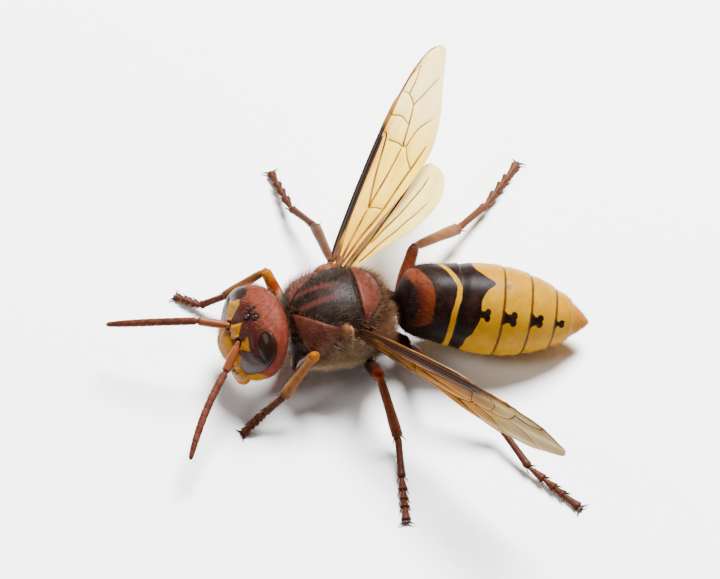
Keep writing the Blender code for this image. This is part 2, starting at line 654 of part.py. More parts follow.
def wing_body(name, outline, veins, lift, material, pose):
    """A membrane with both faces split alike and its veins raised as ridges."""
    corners = [*outline]
    edges = [(index, (index + 1) % len(corners)) for index in range(len(corners))]
    lines = []
    for half_width, points in veins:
        middle = curve(points, VEIN_SPACING)
        lines.append((half_width, middle))
        for shift in (-half_width, 0.0, half_width):
            first = len(corners)
            for index, place in enumerate(middle):
                along = middle[min(index + 1, len(middle) - 1)] - middle[max(index - 1, 0)]
                across = Vector((-along.y, along.x)).normalized()
                corners.append(place + across * shift)
            edges += [(step, step + 1) for step in range(first, len(corners) - 1)]
    boundary = tuple(range(len(outline)))
    flat, _, faces, *_ = delaunay_2d_cdt([Vector(point) for point in corners], edges, [boundary], 1, 1e-4)
    heights = []
    for place in flat:
        ridge = 0.0
        for half_width, middle in lines:
            for start, end in zip(middle, middle[1:]):
                run = end - start
                part = min(max((place - start).dot(run) / run.length_squared, 0), 1)
                away = (place - start - run * part).length
                ridge = max(ridge, VEIN_HEIGHT * (1 - away / half_width))
        heights.append(MEMBRANE_THICKNESS / 2 + ridge)
    count = len(flat)
    points = [(place.x, place.y, lift + height) for place, height in zip(flat, heights)]
    points += [(place.x, place.y, lift - height) for place, height in zip(flat, heights)]
    used = {}
    for face in faces:
        for start, end in zip(face, face[1:] + face[:1]):
            used[(start, end)] = used.get((start, end), 0) + 1
    rim = [edge for edge in used if (edge[1], edge[0]) not in used]
    shell = [tuple(face) for face in faces]
    shell += [tuple(count + corner for corner in reversed(face)) for face in faces]
    shell += [(start, count + start, count + end, end) for start, end in rim]
    thing = solid(name, points, shell, material, pose)
    body = bmesh.new()
    body.from_mesh(thing.data)
    loose = [vert for vert in body.verts if not vert.link_faces]
    bmesh.ops.delete(body, geom=loose, context="VERTS")
    body.to_mesh(thing.data)
    body.free()
    return thing


def make_wings(stance, finishes):
    for side, label in ((1, "left"), (-1, "right")):
        sweep = math.radians(WING_SWEEP)
        rise = math.radians(WING_RISE)
        span = Vector((side * math.cos(rise) * math.cos(sweep), math.cos(rise) * math.sin(sweep), math.sin(rise)))
        trailing = Vector((-side * math.sin(sweep), math.cos(sweep), 0))
        turn = Matrix.Rotation(math.radians(WING_TWIST[label] * side), 3, span)
        trailing = turn @ trailing
        frame = Matrix((span, trailing, span.cross(trailing))).transposed()
        pose = empty("wing_pose_" + label, WING_ROOTS[label], frame, stance)
        ring = FOREWING_LEADING + FOREWING_TIP + FOREWING_FOLD[label]
        outline = curve(ring, OUTLINE_SPACING)
        wing_body("forewing_" + label, outline, FOREWING_VEINS, 0.0, finishes["wing"], pose)
        outline = curve(HINDWING_OUTLINE[label], OUTLINE_SPACING)
        wing_body("hindwing_" + label, outline, HINDWING_VEINS[label], HINDWING_LIFT, finishes["wing"], pose)


def main():
    clear_scene()
    finishes = {
        "rust": finish("rust", RUST),
        "chestnut": finish("chestnut", CHESTNUT),
        "dark": finish("dark", BLACK_BROWN),
        "yellow": finish("yellow", YELLOW),
        "orange": finish("orange", LEG_ORANGE),
        "eye": finish("eye", EYE_BROWN, 0.12),
        "wing": finish("wing", WING_AMBER, 0.25),
    }
    stance = empty("stance", STANCE_SHIFT, Matrix.Identity(3))
    head_pose, head_turn = make_head(stance, finishes)
    make_feelers(head_turn, stance, finishes)
    make_thorax(stance, head_pose, finishes)
    make_abdomen(stance, finishes)
    for name, plan in LEGS.items():
        make_leg(name, plan, stance, finishes)
    make_wings(stance, finishes)


main()
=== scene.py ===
# %% [markdown]
# # A european hornet, life size
# This lesson dresses a plain solid model of a hornet: its smooth shell, its eyes, its
# veined wings and its fuzz. The solid model is loaded first and never moved. Every
# form here is an array of points worked out by a formula, and every finish is shader
# maths, so that each number can be changed and its effect seen.

# %% Tools and the solid model
import math
from collections import namedtuple

import bpy
import numpy as np
from mathutils import Matrix, Vector


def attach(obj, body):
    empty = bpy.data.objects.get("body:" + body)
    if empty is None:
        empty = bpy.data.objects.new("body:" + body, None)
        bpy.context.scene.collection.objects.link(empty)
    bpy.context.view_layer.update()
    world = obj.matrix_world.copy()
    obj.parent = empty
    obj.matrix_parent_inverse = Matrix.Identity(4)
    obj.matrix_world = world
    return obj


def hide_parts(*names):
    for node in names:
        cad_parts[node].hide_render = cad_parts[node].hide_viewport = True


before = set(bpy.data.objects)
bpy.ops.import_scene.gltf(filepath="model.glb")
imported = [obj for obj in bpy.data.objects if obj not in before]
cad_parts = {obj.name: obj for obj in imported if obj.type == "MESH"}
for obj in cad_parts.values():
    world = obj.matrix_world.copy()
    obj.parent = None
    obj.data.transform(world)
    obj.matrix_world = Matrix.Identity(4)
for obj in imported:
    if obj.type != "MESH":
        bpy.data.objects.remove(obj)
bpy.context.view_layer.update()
MM = 0.001
STANCE_SHIFT = np.array([0.0, -0.8, 0.0])
print("solid model:", len(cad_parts), "nodes")

# %% [markdown]
# ## The camera first
# A long lens far away gives the flat, even view of a studio picture. The view is set by
# two angles and by how many millimetres the frame is wide at the insect. It comes
# first, because every later step is judged through it.

# %% Camera
VIEW_AZIMUTH = math.radians(77)
VIEW_HEIGHT = math.radians(52.5)
FRAME_WIDTH_MM = 720 / 14
VIEW_DISTANCE = 0.40
AIM_HEIGHT = 0.0044
AIM_RIGHT = 0.001714
AIM_UP = 0.002036

right_way = Vector((math.cos(VIEW_AZIMUTH), math.sin(VIEW_AZIMUTH), 0))
back_way = Vector((math.sin(VIEW_AZIMUTH) * math.cos(VIEW_HEIGHT),
                   -math.cos(VIEW_AZIMUTH) * math.cos(VIEW_HEIGHT),
                   math.sin(VIEW_HEIGHT)))
up_way = back_way.cross(right_way)
aim = Vector(STANCE_SHIFT) * MM + Vector((0, 0, AIM_HEIGHT)) + right_way * AIM_RIGHT + up_way * AIM_UP
lens = bpy.data.cameras.new("view")
lens.sensor_width = 36
lens.lens = lens.sensor_width * VIEW_DISTANCE / (FRAME_WIDTH_MM * MM)
lens.clip_start = 0.001
viewer = bpy.data.objects.new("view", lens)
axes = Matrix((right_way, up_way, back_way)).transposed().to_4x4()
viewer.matrix_world = Matrix.Translation(aim + back_way * VIEW_DISTANCE) @ axes
bpy.context.scene.collection.objects.link(viewer)
bpy.context.scene.camera = viewer
print("lens", round(lens.lens), "mm")

# %% [markdown]
# ## Shader maths as plain Python
# A material is a small program of nodes. Writing it node by node hides the idea, so a
# socket is wrapped in a class whose plus, minus and times add the Math nodes. A colour
# is never sent through a Math node, which would turn it grey: Mix does that work.

# %% A socket that can be added and multiplied
class Amount:
    """A number, colour or vector inside a material; sums and products add Math nodes."""

    def __init__(self, finish, socket):
        self.finish = finish
        self.socket = socket

    def maths(self, operation, *others):
        inputs = dict(enumerate((self, *others)))
        return self.finish.node("ShaderNodeMath", {"operation": operation}, inputs)

    def __add__(self, other):
        return self.maths("ADD", other)

    __radd__ = __add__

    def __sub__(self, other):
        return self.maths("SUBTRACT", other)

    def __rsub__(self, other):
        return self * -1.0 + other

    def __mul__(self, other):
        return self.maths("MULTIPLY", other)

    __rmul__ = __mul__

    def __abs__(self):
        return self.maths("ABSOLUTE")

    def power(self, other):
        return self.maths("POWER", other)

    def most(self, other):
        return self.maths("MAXIMUM", other)

    def least(self, other):
        return self.maths("MINIMUM", other)

    def rise(self, low, high):
        """Smoothly 0 below low and 1 above high; with low above high it falls instead."""
        inputs = {"Value": self, "From Min": low, "From Max": high}
        return self.finish.node("ShaderNodeMapRange", {"interpolation_type": "SMOOTHSTEP"}, inputs)

    def within(self, low, high, soft):
        """1 between low and high, falling to 0 over a soft edge."""
        return self.rise(low - soft, low + soft) * self.rise(high + soft, high - soft)


# %% One finish: a Principled material and one way to add nodes
class Finish:
    """A Principled material whose varying inputs are built from sockets."""

    def __init__(self, name, **fixed):
        self.material = bpy.data.materials.new(name)
        self.material.use_nodes = True
        self.tree = self.material.node_tree
        self.shader = self.tree.nodes["Principled BSDF"]
        self.shader.inputs["Specular IOR Level"].default_value = 0.12
        for socket, value in fixed.items():
            self.shader.inputs[socket.replace("_", " ")].default_value = value

    def node(self, kind, settings=None, inputs=None, output=0):
        """Add a node: its settings first, then its sockets, and give back one output."""
        node = self.tree.nodes.new(kind)
        for name, value in (settings or {}).items():
            if name == "stops":
                self.set_stops(node.color_ramp, value)
            else:
                setattr(node, name, value)
        for key, value in (inputs or {}).items():
            if isinstance(value, Amount):
                self.tree.links.new(value.socket, node.inputs[key])
            else:
                node.inputs[key].default_value = value
        return Amount(self, node.outputs[output])

    def set_stops(self, ramp, stops):
        while len(ramp.elements) < len(stops):
            ramp.elements.new(0.5)
        for element, (place, value) in zip(ramp.elements, stops):
            element.position = place
            level = (value,) * 3 if isinstance(value, float) else value
            element.color = (*level, 1)

    def ramp(self, amount, stops, ease="LINEAR"):
        found = self.node("ShaderNodeValToRGB", {"stops": stops}, {"Fac": amount})
        found.socket.node.color_ramp.interpolation = ease
        return found

    def line(self, amount, table):
        """Read a table of (place, value) pairs as a smooth line through them."""
        places, values = zip(*table)
        low, high = places[0], places[-1]
        least, most = min(values), max(values)
        stops = [((place - low) / (high - low), (value - least) / (most - least))
                 for place, value in table]
        share = self.ramp((amount - low) * (1 / (high - low)), stops, "CARDINAL")
        return share * (most - least) + least

    def mix(self, amount, low, high):
        """A colour between two, by an amount from 0 to 1."""
        inputs = {0: amount}
        for index, value in ((6, low), (7, high)):
            inputs[index] = value if isinstance(value, Amount) else (*value, 1)
        return self.node("ShaderNodeMix", {"data_type": "RGBA"}, inputs, output=2)

    def place(self, origin=(0, 0, 0), turn=None):
        """Millimetres along the three axes of a piece's own frame."""
        where = self.node("ShaderNodeTexCoord", output=3)
        middle = (np.asarray(origin) + STANCE_SHIFT) * MM
        angles = (turn or Matrix.Identity(3)).to_euler()
        inputs = {"Vector": where, "Location": middle, "Rotation": angles, "Scale": (MM, MM, MM)}
        return self.node("ShaderNodeMapping", {"vector_type": "TEXTURE"}, inputs)

    def split(self, vector):
        node = self.node("ShaderNodeSeparateXYZ", inputs={"Vector": vector}).socket.node
        return [Amount(self, socket) for socket in node.outputs]

    def surface_map(self):
        """How far round and how far along a skin, each from 0 to 1."""
        return self.split(self.node("ShaderNodeUVMap", {"uv_map": "form"}))[:2]

    def noise(self, vector, scale):
        inputs = {"Vector": vector, "Scale": scale, "Detail": 3.0, "Roughness": 0.6}
        return self.node("ShaderNodeTexNoise", inputs=inputs)

    def patchy(self, place, scale, low, high, edges=(0.35, 0.7)):
        """Soft patches of two colours, smaller as the scale grows."""
        return self.mix(self.noise(place, scale).rise(*edges), low, high)

    def pits(self, vector, scale, width):
        """Small round pits: 1 in the middle of each cell and 0 outside its width."""
        cell = self.node("ShaderNodeTexVoronoi", inputs={"Vector": vector, "Scale": scale})
        return cell.rise(width, 0.0)

    def use(self, **links):
        for socket, value in links.items():
            self.tree.links.new(value.socket, self.shader.inputs[socket.replace("_", " ")])

    def bump(self, height, distance_mm):
        """Small relief: a height of 1 stands the given distance proud."""
        inputs = {"Height": height, "Distance": distance_mm * MM, "Strength": 1.0}
        normal = self.node("ShaderNodeBump", inputs=inputs)
        self.tree.links.new(normal.socket, self.shader.inputs["Normal"])


print("shader maths ready")

# %% [markdown]
# ## From arrays to meshes
# A surface here is a grid of points: rows run along a form and columns run round it.
# One function closes such a grid into a skin, with a fan at each end, and keeps the
# grid's own numbers as a map, so that patterns and hairs can find their place on it.

# %% Grids of points become closed skins
Patch = namedtuple("Patch", "points quads triangles quad_map triangle_map")


def volume(points, triangles):
    """Signed volume: a sixth of the sum of each triangle's box product."""
    a, b, c = (points[triangles[:, corner]] for corner in range(3))
    return np.sum(a * np.cross(b, c)) / 6


def facing_out(patch):
    """Reverse every face of a closed patch whose volume comes out negative."""
    halves = np.concatenate([patch.quads[:, [0, 1, 2]], patch.quads[:, [0, 2, 3]], patch.triangles])
    if volume(patch.points - patch.points.mean(axis=0), halves) > 0:
        return patch
    return Patch(patch.points, patch.quads[:, ::-1], patch.triangles[:, ::-1],
                 patch.quad_map[:, ::-1], patch.triangle_map[:, ::-1])


def skin(rings, along=(0.0, 1.0)):
    """Close rings of points, shape (rows, columns, 3), with a fan at each end."""
    rows, columns, _ = rings.shape
    ends = np.stack([rings[0].mean(axis=0), rings[-1].mean(axis=0)])
    points = np.concatenate([rings.reshape(-1, 3), ends])
    row, column = np.meshgrid(np.arange(rows - 1), np.arange(columns), indexing="ij")
    after = (column + 1) % columns
    corners = [(row, column, 0, 0), (row, after, 0, 1), (row + 1, after, 1, 1), (row + 1, column, 1, 0)]
    quads = np.stack([r * columns + c for r, c, _, _ in corners], axis=-1).reshape(-1, 4)
    span = along[1] - along[0]
    quad_map = np.stack([np.stack([(column + right) / columns,
                                   along[0] + span * (row + up) / (rows - 1)], axis=-1)
                         for _, _, up, right in corners], axis=-2).reshape(-1, 4, 2)
    step = np.arange(columns)
    following = (step + 1) % columns
    start = (rows - 1) * columns
    first = np.stack([following, step, np.full(columns, rows * columns)], axis=-1)
    last = np.stack([start + step, start + following, np.full(columns, rows * columns + 1)], axis=-1)
    around = np.stack([step + 1, step, step + 0.5], axis=-1) / columns
    low = np.stack([around, np.full(around.shape, along[0])], axis=-1)
    high = np.stack([around[:, [1, 0, 2]], np.full(around.shape, along[1])], axis=-1)
    return facing_out(Patch(points, quads, np.concatenate([first, last]), quad_map,
                            np.concatenate([low, high])))


def build(name, patches, finish, nodes, map_name="form"):
    """Join patches into one smooth mesh object that rides on the body."""
    sizes = np.cumsum([0] + [len(patch.points) for patch in patches])
    points = np.concatenate([patch.points for patch in patches])
    quads = np.concatenate([patch.quads + size for patch, size in zip(patches, sizes)])
    triangles = np.concatenate([patch.triangles + size for patch, size in zip(patches, sizes)])
    corner_map = np.concatenate([np.concatenate([patch.quad_map.reshape(-1, 2) for patch in patches]),
                                 np.concatenate([patch.triangle_map.reshape(-1, 2) for patch in patches])])
    mesh = bpy.data.meshes.new(name)
    places = (points + STANCE_SHIFT) * MM
    mesh.from_pydata(places.tolist(), [], quads.tolist() + triangles.tolist())
    layer = mesh.uv_layers.new(name=map_name)
    layer.data.foreach_set("uv", corner_map.astype(np.float32).ravel())
    mesh.polygons.foreach_set("use_smooth", np.ones(len(mesh.polygons), dtype=bool))
    mesh.materials.append(finish.material)
    piece = bpy.data.objects.new(name, mesh)
    bpy.context.scene.collection.objects.link(piece)
    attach(piece, "root")
    if nodes:
        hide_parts(*nodes)
    print(name, 2 * len(quads) + len(triangles), "triangles")
    return piece


# %% [markdown]
# ## Reading a short table smoothly
# The body's sizes come as short tables: a few places along a form, with its widths
# there. A cubic curve through the rows gives every value in between, and a gentle blur
# takes out what is left of the corners.

# %% Smooth tables, curves and blurs
def smooth(table, where, column):
    """Cubic curve through a column of a table, with slopes from the neighbouring rows."""
    table = np.asarray(table, dtype=float)
    keys = table[:, 0]
    values = table[:, column]
    slopes = np.gradient(values, keys)
    step = np.clip(np.searchsorted(keys, where) - 1, 0, len(keys) - 2)
    width = keys[step + 1] - keys[step]
    part = np.clip((where - keys[step]) / width, 0, 1)
    ease = part * part * (3 - 2 * part)
    start = (part ** 3 - 2 * part ** 2 + part) * width * slopes[step]
    end = (part ** 3 - part ** 2) * width * slopes[step + 1]
    return values[step] + (values[step + 1] - values[step]) * ease + start + end


def rise(value, low, high):
    """Smoothly 0 below low and 1 above high."""
    part = np.clip((value - low) / (high - low), 0, 1)
    return part * part * (3 - 2 * part)


def hill(value, centre, width):
    """A bell: 1 at the centre, falling off over the width."""
    return np.exp(-((value - centre) / width) ** 2)


def blurred(values, times):
    """Average each value with its neighbours along the rows and round the columns."""
    values = values.copy()
    for _ in range(times):
        values[1:-1] = (values[:-2] + 2 * values[1:-1] + values[2:]) / 4
        values = (np.roll(values, 1, axis=1) + 2 * values + np.roll(values, -1, axis=1)) / 4
    return values


def circle(count):
    """Evenly spaced angles round a circle, in radians."""
    return np.linspace(0, 2 * np.pi, count, endpoint=False)


def curve(points, count, closed=False):
    """A cubic curve through points, its slopes from their neighbours, read at even steps of length."""
    points = np.asarray(points, dtype=float)
    if closed:
        ends = np.concatenate([points[-1:], points, points[:2]])
    else:
        ends = np.concatenate([2 * points[:1] - points[1:2], points, 2 * points[-1:] - points[-2:-1]])
    spans = len(ends) - 3
    where = np.linspace(0, spans, spans * 24 + 1)
    step = np.minimum(where.astype(int), spans - 1)
    part = (where - step)[:, None]
    before, start, end, after = (ends[step + shift] for shift in range(4))
    fine = 0.5 * (2 * start + (end - before) * part
                  + (2 * before - 5 * start + 4 * end - after) * part ** 2
                  + (3 * start - before - 3 * end + after) * part ** 3)
    length = np.concatenate([[0], np.cumsum(np.linalg.norm(np.diff(fine, axis=0), axis=1))])
    places = np.linspace(0, length[-1], count + 1 if closed else count)
    found = np.stack([np.interp(places, length, fine[:, axis]) for axis in range(fine.shape[1])], axis=-1)
    return found[:-1] if closed else found


def distance_to(line, x, y):
    """Shortest distance in a plane from each place to a run of straight pieces."""
    line = np.asarray(line, dtype=float)
    nearest = np.full(np.shape(x), np.inf)
    for start, end in zip(line, line[1:]):
        run = end - start
        part = np.clip(((x - start[0]) * run[0] + (y - start[1]) * run[1]) / (run @ run), 0, 1)
        nearest = np.minimum(nearest, np.hypot(x - start[0] - run[0] * part, y - start[1] - run[1] * part))
    return nearest


def inside(outline, x, y):
    """True where a place lies inside a closed outline: a ray crosses it an odd number of times."""
    found = np.zeros(np.shape(x), dtype=bool)
    for start, end in zip(outline, np.roll(outline, -1, axis=0)):
        crosses = (start[1] > y) != (end[1] > y)
        level = np.where(crosses, (y - start[1]) / np.where(end[1] == start[1], 1, end[1] - start[1]), 0)
        found ^= crosses & (x < start[0] + (end[0] - start[0]) * level)
    return found


def unit(vectors):
    return vectors / (np.linalg.norm(vectors, axis=-1, keepdims=True) + 1e-12)


def normals_of(rings):
    """Outward directions on a closed grid: the cross product of its two slopes."""
    along = np.gradient(rings, axis=0)
    around = np.roll(rings, -1, axis=1) - np.roll(rings, 1, axis=1)
    normal = unit(np.cross(around, along))
    middle = rings.mean(axis=1, keepdims=True)
    return normal if np.mean(np.sum(normal * (rings - middle), axis=-1)) > 0 else -normal


def tube(path, wide, high=None, columns=24, up=(0, 0, 1)):
    """Ellipses carried along a path, square to it: half width and half height at each point."""
    path = np.asarray(path, dtype=float)
    high = wide if high is None else high
    along = unit(np.gradient(path, axis=0))
    side = unit(np.cross(along, up))
    top = np.cross(side, along)
    angle = circle(columns)
    wide = np.broadcast_to(wide, len(path))[:, None, None]
    high = np.broadcast_to(high, len(path))[:, None, None]
    across = side[:, None] * np.cos(angle)[None, :, None] * wide
    return path[:, None] + across + top[:, None] * np.sin(angle)[None, :, None] * high


print("curve tools ready")

# %% [markdown]
# ## Frames of the parts
# The head, the abdomen and each wing have a frame of their own, turned as the insect
# holds them. A form is worked out in its frame and then turned into place, and its
# finish reads the same frame, so that a marking stays put if the pose is changed.

# %% Frames
def turned(degrees, axis):
    return Matrix.Rotation(math.radians(degrees), 3, axis)


def put(points, origin, turn):
    """Turn points out of a part's own frame into the insect's."""
    return np.asarray(points) @ np.array(turn).T + np.asarray(origin)


HEAD_PLACE = (0.10, -5.90, 4.79)
HEAD_TURN = turned(11, "Z") @ turned(-21, "X")
ABDOMEN_START = (-0.35, 4.90, 4.90)
ABDOMEN_TURN = turned(-13, "Z") @ turned(-12.3, "X") @ turned(40, "Y")
WING_ROOTS = {"left": (2.95, 0.85, 6.10), "right": (-3.15, 0.85, 6.10)}
WING_SWEEP = math.radians(35.5)
WING_RISE = math.radians(10.5)


def wing_turn(label):
    """A wing's frame: along its span, then towards its trailing edge, then their cross."""
    side = 1 if label == "left" else -1
    span = Vector((side * math.cos(WING_RISE) * math.cos(WING_SWEEP),
                   math.cos(WING_RISE) * math.sin(WING_SWEEP), math.sin(WING_RISE)))
    trailing = Vector((-side * math.sin(WING_SWEEP), math.cos(WING_SWEEP), 0))
    if label == "left":
        trailing = Matrix.Rotation(math.radians(-90), 3, span) @ trailing
    return Matrix((span, trailing, span.cross(trailing))).transposed()


def direction(side, heading, pitch):
    """The unit vector of a heading and a pitch on the left (+1) or the right (-1)."""
    heading, pitch = math.radians(heading), math.radians(pitch)
    return np.array([side * math.cos(pitch) * math.cos(heading), -math.cos(pitch) * math.sin(heading),
                     math.sin(pitch)])


SIDES = {"left": 1, "right": -1}
print("frames ready")

# %% [markdown]
# ## Colours
# Chitin is a varnish-like shell: rust red on the head, nearly black where it is thick,
# egg yellow where pigment lies behind a clear layer. Each colour is named once, in
# linear light, and the finishes mix them.

# %% Colours
RUST = (0.105, 0.0185, 0.0100)
RUST_LIGHT = (0.135, 0.0255, 0.0145)
PLUM = (0.034, 0.0060, 0.0050)
BLACK_BROWN = (0.0050, 0.0024, 0.0019)
EGG_YELLOW = (0.26, 0.120, 0.0002)
LEMON = (0.31, 0.150, 0.0004)
OCHRE = (0.24, 0.076, 0.0010)
ORANGE_RED = (0.140, 0.017, 0.0022)
CHESTNUT = (0.022, 0.0058, 0.0032)
MAHOGANY = (0.064, 0.0140, 0.0080)
FUZZ_GOLD = (0.50, 0.30, 0.150)
print("colours ready")

# %% [markdown]
# ## The head
# Seen from the front a hornet's head is a rounded shield; seen from above it is a
# short, wide box with full temples. The rows of the table give it, from chin to crown:
# height, half width, face and nape. Rays from the middle meet that form, which gives a
# sphere-like grid whose poles hide under the eyes. The face's relief is then pushed
# out along the surface: the clypeus (the lip shield), the raised plate between the
# feelers, the rims of their sockets and of the eyes.

# %% Head form
HEAD_SECTIONS = [
    (-2.75, 1.80, -1.35, -0.40), (-2.30, 2.65, -1.60, -0.05), (-1.50, 3.27, -1.75, 0.55),
    (-0.50, 3.55, -1.75, 1.10), (0.50, 3.47, -1.65, 1.40), (1.40, 3.10, -1.35, 1.50),
    (2.10, 2.45, -0.75, 1.42), (2.50, 1.75, -0.15, 1.22), (2.70, 0.90, 0.30, 0.90),
]
HEAD_POWER = 2.15
HEAD_WIDEST = 0.30
HEAD_MIDDLE = np.array([0.0, -0.05, 0.0])
LONGEST_RAY = 5.0
HALVINGS = 26


def head_size(height):
    """Half width, middle depth and reach to the face and to the nape at each height."""
    half_width, face, nape = (smooth(HEAD_SECTIONS, height, column) for column in (1, 2, 3))
    middle = np.minimum(np.maximum(HEAD_WIDEST, face + 0.4), nape - 0.4)
    return half_width, middle, middle - face, nape - middle


def head_reach(ways):
    """Halve the step along each ray until it meets the superellipse form of the table."""
    near = np.zeros(ways.shape[:-1])
    far = np.full(ways.shape[:-1], LONGEST_RAY)
    for _ in range(HALVINGS):
        half = (near + far) / 2
        x, y, z = np.moveaxis(HEAD_MIDDLE + ways * half[..., None], -1, 0)
        wide, middle, front, behind = head_size(z)
        deep = np.abs(y - middle) / np.where(y > middle, behind, front)
        out = (np.abs(x) / wide) ** HEAD_POWER + deep ** HEAD_POWER > 1
        out |= (z < HEAD_SECTIONS[0][0]) | (z > HEAD_SECTIONS[-1][0])
        far = np.where(out, half, far)
        near = np.where(out, near, half)
    return (near + far) / 2


def head_side(depth, height):
    """Half width of the head where a line at this depth and height meets its side."""
    wide, middle, front, behind = head_size(height)
    share = np.minimum(np.abs(depth - middle) / np.where(depth > middle, behind, front), 0.94)
    return wide * (1 - share ** HEAD_POWER) ** (1 / HEAD_POWER)


EYE_CENTRE = np.array([-0.60, 0.30])
EYE_OUTLINE = curve([
    (-0.64, 1.95), (-0.26, 1.90), (-0.13, 1.25), (-0.32, 0.30), (-0.60, -0.60), (-0.92, -1.45),
    (-1.30, -1.80), (-1.54, -1.30), (-1.58, -0.50), (-1.43, 0.05), (-1.04, 0.38), (-1.18, 0.90),
    (-1.02, 1.50),
], 96, closed=True)
FEELER_SOCKET = np.array([0.85, -1.72, -0.15])
OCELLI = np.array([(0.0, -1.22, 1.62), (0.42, -0.90, 1.97), (-0.42, -0.90, 1.97)])
OCELLUS_RADIUS = 0.20


def head_relief(x, y, z):
    """Height of the relief: bells, ridges and pits added at the face's landmarks."""
    face = rise(-y, 0.5, 1.0)
    lip = np.hypot(x / 1.42, (z + 1.62) / 1.08)
    relief = face * (0.30 * (1 - rise(lip, 0.45, 1.0)) - 0.07 * hill(lip, 1.06, 0.06))
    plate = np.abs(x) / 0.62 + np.abs(z - 0.12) / 0.85
    relief += face * 0.13 * (1 - rise(plate, 0.55, 1.1))
    socket = np.hypot(np.abs(x) - FEELER_SOCKET[0], z - FEELER_SOCKET[2])
    relief += face * (0.10 * hill(socket, 0.42, 0.09) - 0.24 * (1 - rise(socket, 0.18, 0.36)))
    brow = rise(z, 0.75, 0.95) * rise(-z, -1.55, -1.35)
    relief -= 0.045 * brow * hill(x, 0, 0.05) * face
    crown = np.hypot(x, (z - 1.85) / 0.8)
    relief += 0.07 * hill(crown, 0, 0.65) * rise(z, 1.0, 1.4)
    for place in OCELLI:
        away = np.linalg.norm(np.stack([x, y, z], -1) - place, axis=-1)
        relief -= 0.05 * hill(away, 0.24, 0.07)
    outline = np.concatenate([EYE_OUTLINE, EYE_OUTLINE[:1]])
    edge = distance_to(outline, y, z)
    edge = np.where(inside(EYE_OUTLINE, y, z), -edge, edge)
    side = rise(np.abs(x), 0.7, 1.0)
    relief += side * (0.05 * hill(edge, 0.12, 0.09) - 0.34 * (1 - rise(edge, -0.16, 0.02)))
    relief -= 0.06 * hill(y - smooth(HEAD_SECTIONS, z, 3), -0.35, 0.10) * rise(-np.abs(z), -2.2, -1.9)
    return relief


around = circle(240)[None, :]
across = np.linspace(0.02, np.pi - 0.02, 170)[:, None]
ways = np.stack(np.broadcast_arrays(np.cos(across), np.sin(across) * np.cos(around),
                                    np.sin(across) * np.sin(around)), axis=-1)
reach = blurred(head_reach(ways), 6)
head_rings = HEAD_MIDDLE + ways * reach[..., None]
head_rings = head_rings + normals_of(head_rings) * head_relief(*np.moveaxis(head_rings, -1, 0))[..., None]
print("head is", np.round(np.ptp(head_rings, axis=(0, 1)), 2), "mm")

# %% [markdown]
# ## The head's colours
# The crown and temples are rust red and finely pitted, the forehead is darker and
# plum coloured, and the lip shield, the plate between the feelers and the notch of
# each eye are yellow. Each region is an inequality in the head's own millimetres, with
# a soft edge that a little noise makes uneven.

# %% Head finish
def head_colour(finish):
    """The head's markings, for its skin and for its fuzz."""
    place = finish.place(HEAD_PLACE, HEAD_TURN)
    ragged = (finish.noise(place, 2.6) - 0.5) * 0.35
    x, y, z = finish.split(place)
    side = abs(x)
    forehead = (y + ragged).rise(-0.40, -1.25) * z.rise(-0.6, -0.2)
    colour = finish.patchy(place, 1.3, RUST, RUST_LIGHT)
    colour = finish.mix(forehead, colour, PLUM)
    colour = finish.mix(y.rise(0.5, 1.3) * 0.7, colour, CHESTNUT)
    lower = (z + ragged * 0.6 + side * 0.12).rise(-0.55, -0.85) * y.rise(0.2, -0.4)
    plate = (side * 1.55 + abs(z - 0.15) + ragged).rise(1.0, 0.8) * y.rise(-1.0, -1.3)
    notch = ((side - 1.30) * 0.9 + abs(z - 0.18) * 1.2 + ragged * 0.6).rise(0.75, 0.58)
    notch = notch * side.rise(1.10, 1.24) * y.rise(-0.8, -1.0)
    strip = (x + z * 0.30 + ragged * 0.3).rise(-0.80, -0.98)
    strip = strip * z.within(-0.25, 1.45, 0.12) * y.rise(-0.85, -1.05)
    yellow = lower.most(plate).most(notch).most(strip)
    tint = finish.patchy(place, 1.8, EGG_YELLOW, OCHRE)
    colour = finish.mix(yellow, colour, tint)
    away = (side - FEELER_SOCKET[0]).power(2.0) + (z - FEELER_SOCKET[2]).power(2.0)
    dark = away.rise(0.16, 0.08) * y.rise(-1.0, -1.3)
    for spot in OCELLI:
        reach = finish.node("ShaderNodeVectorMath", {"operation": "DISTANCE"}, {0: place, 1: spot}, output=1)
        dark = dark.most(reach.rise(0.42, 0.24))
    return finish.mix(dark, colour, BLACK_BROWN), place


head_shell = Finish("head_skin", Roughness=0.44, Specular_IOR_Level=0.05)
colour, place = head_colour(head_shell)
punctures = head_shell.pits(place, 7.5, 0.28)
head_shell.use(Base_Color=head_shell.mix(punctures * 0.8, colour, CHESTNUT))
head_shell.bump(head_shell.noise(place, 11.0) * 0.8 - punctures, 0.036)
build("head_skin", [skin(put(head_rings, HEAD_PLACE, HEAD_TURN))], head_shell, ["head"])

# %% [markdown]
# ## The eyes
# A hornet's compound eye is a kidney: its notch holds the yellow wedge beside the
# feeler. It bulges a little out of the head and is glossy and dark brown; its lower lobe
# is painted grey-mauve, a painted reflection. The lens is a set of shrinking outlines laid
# on the side of the head. Each point is lifted by a bowl-shaped swelling that fades to
# nothing at the rim.

# %% Compound eyes
FACETS_PER_MM = 26.0


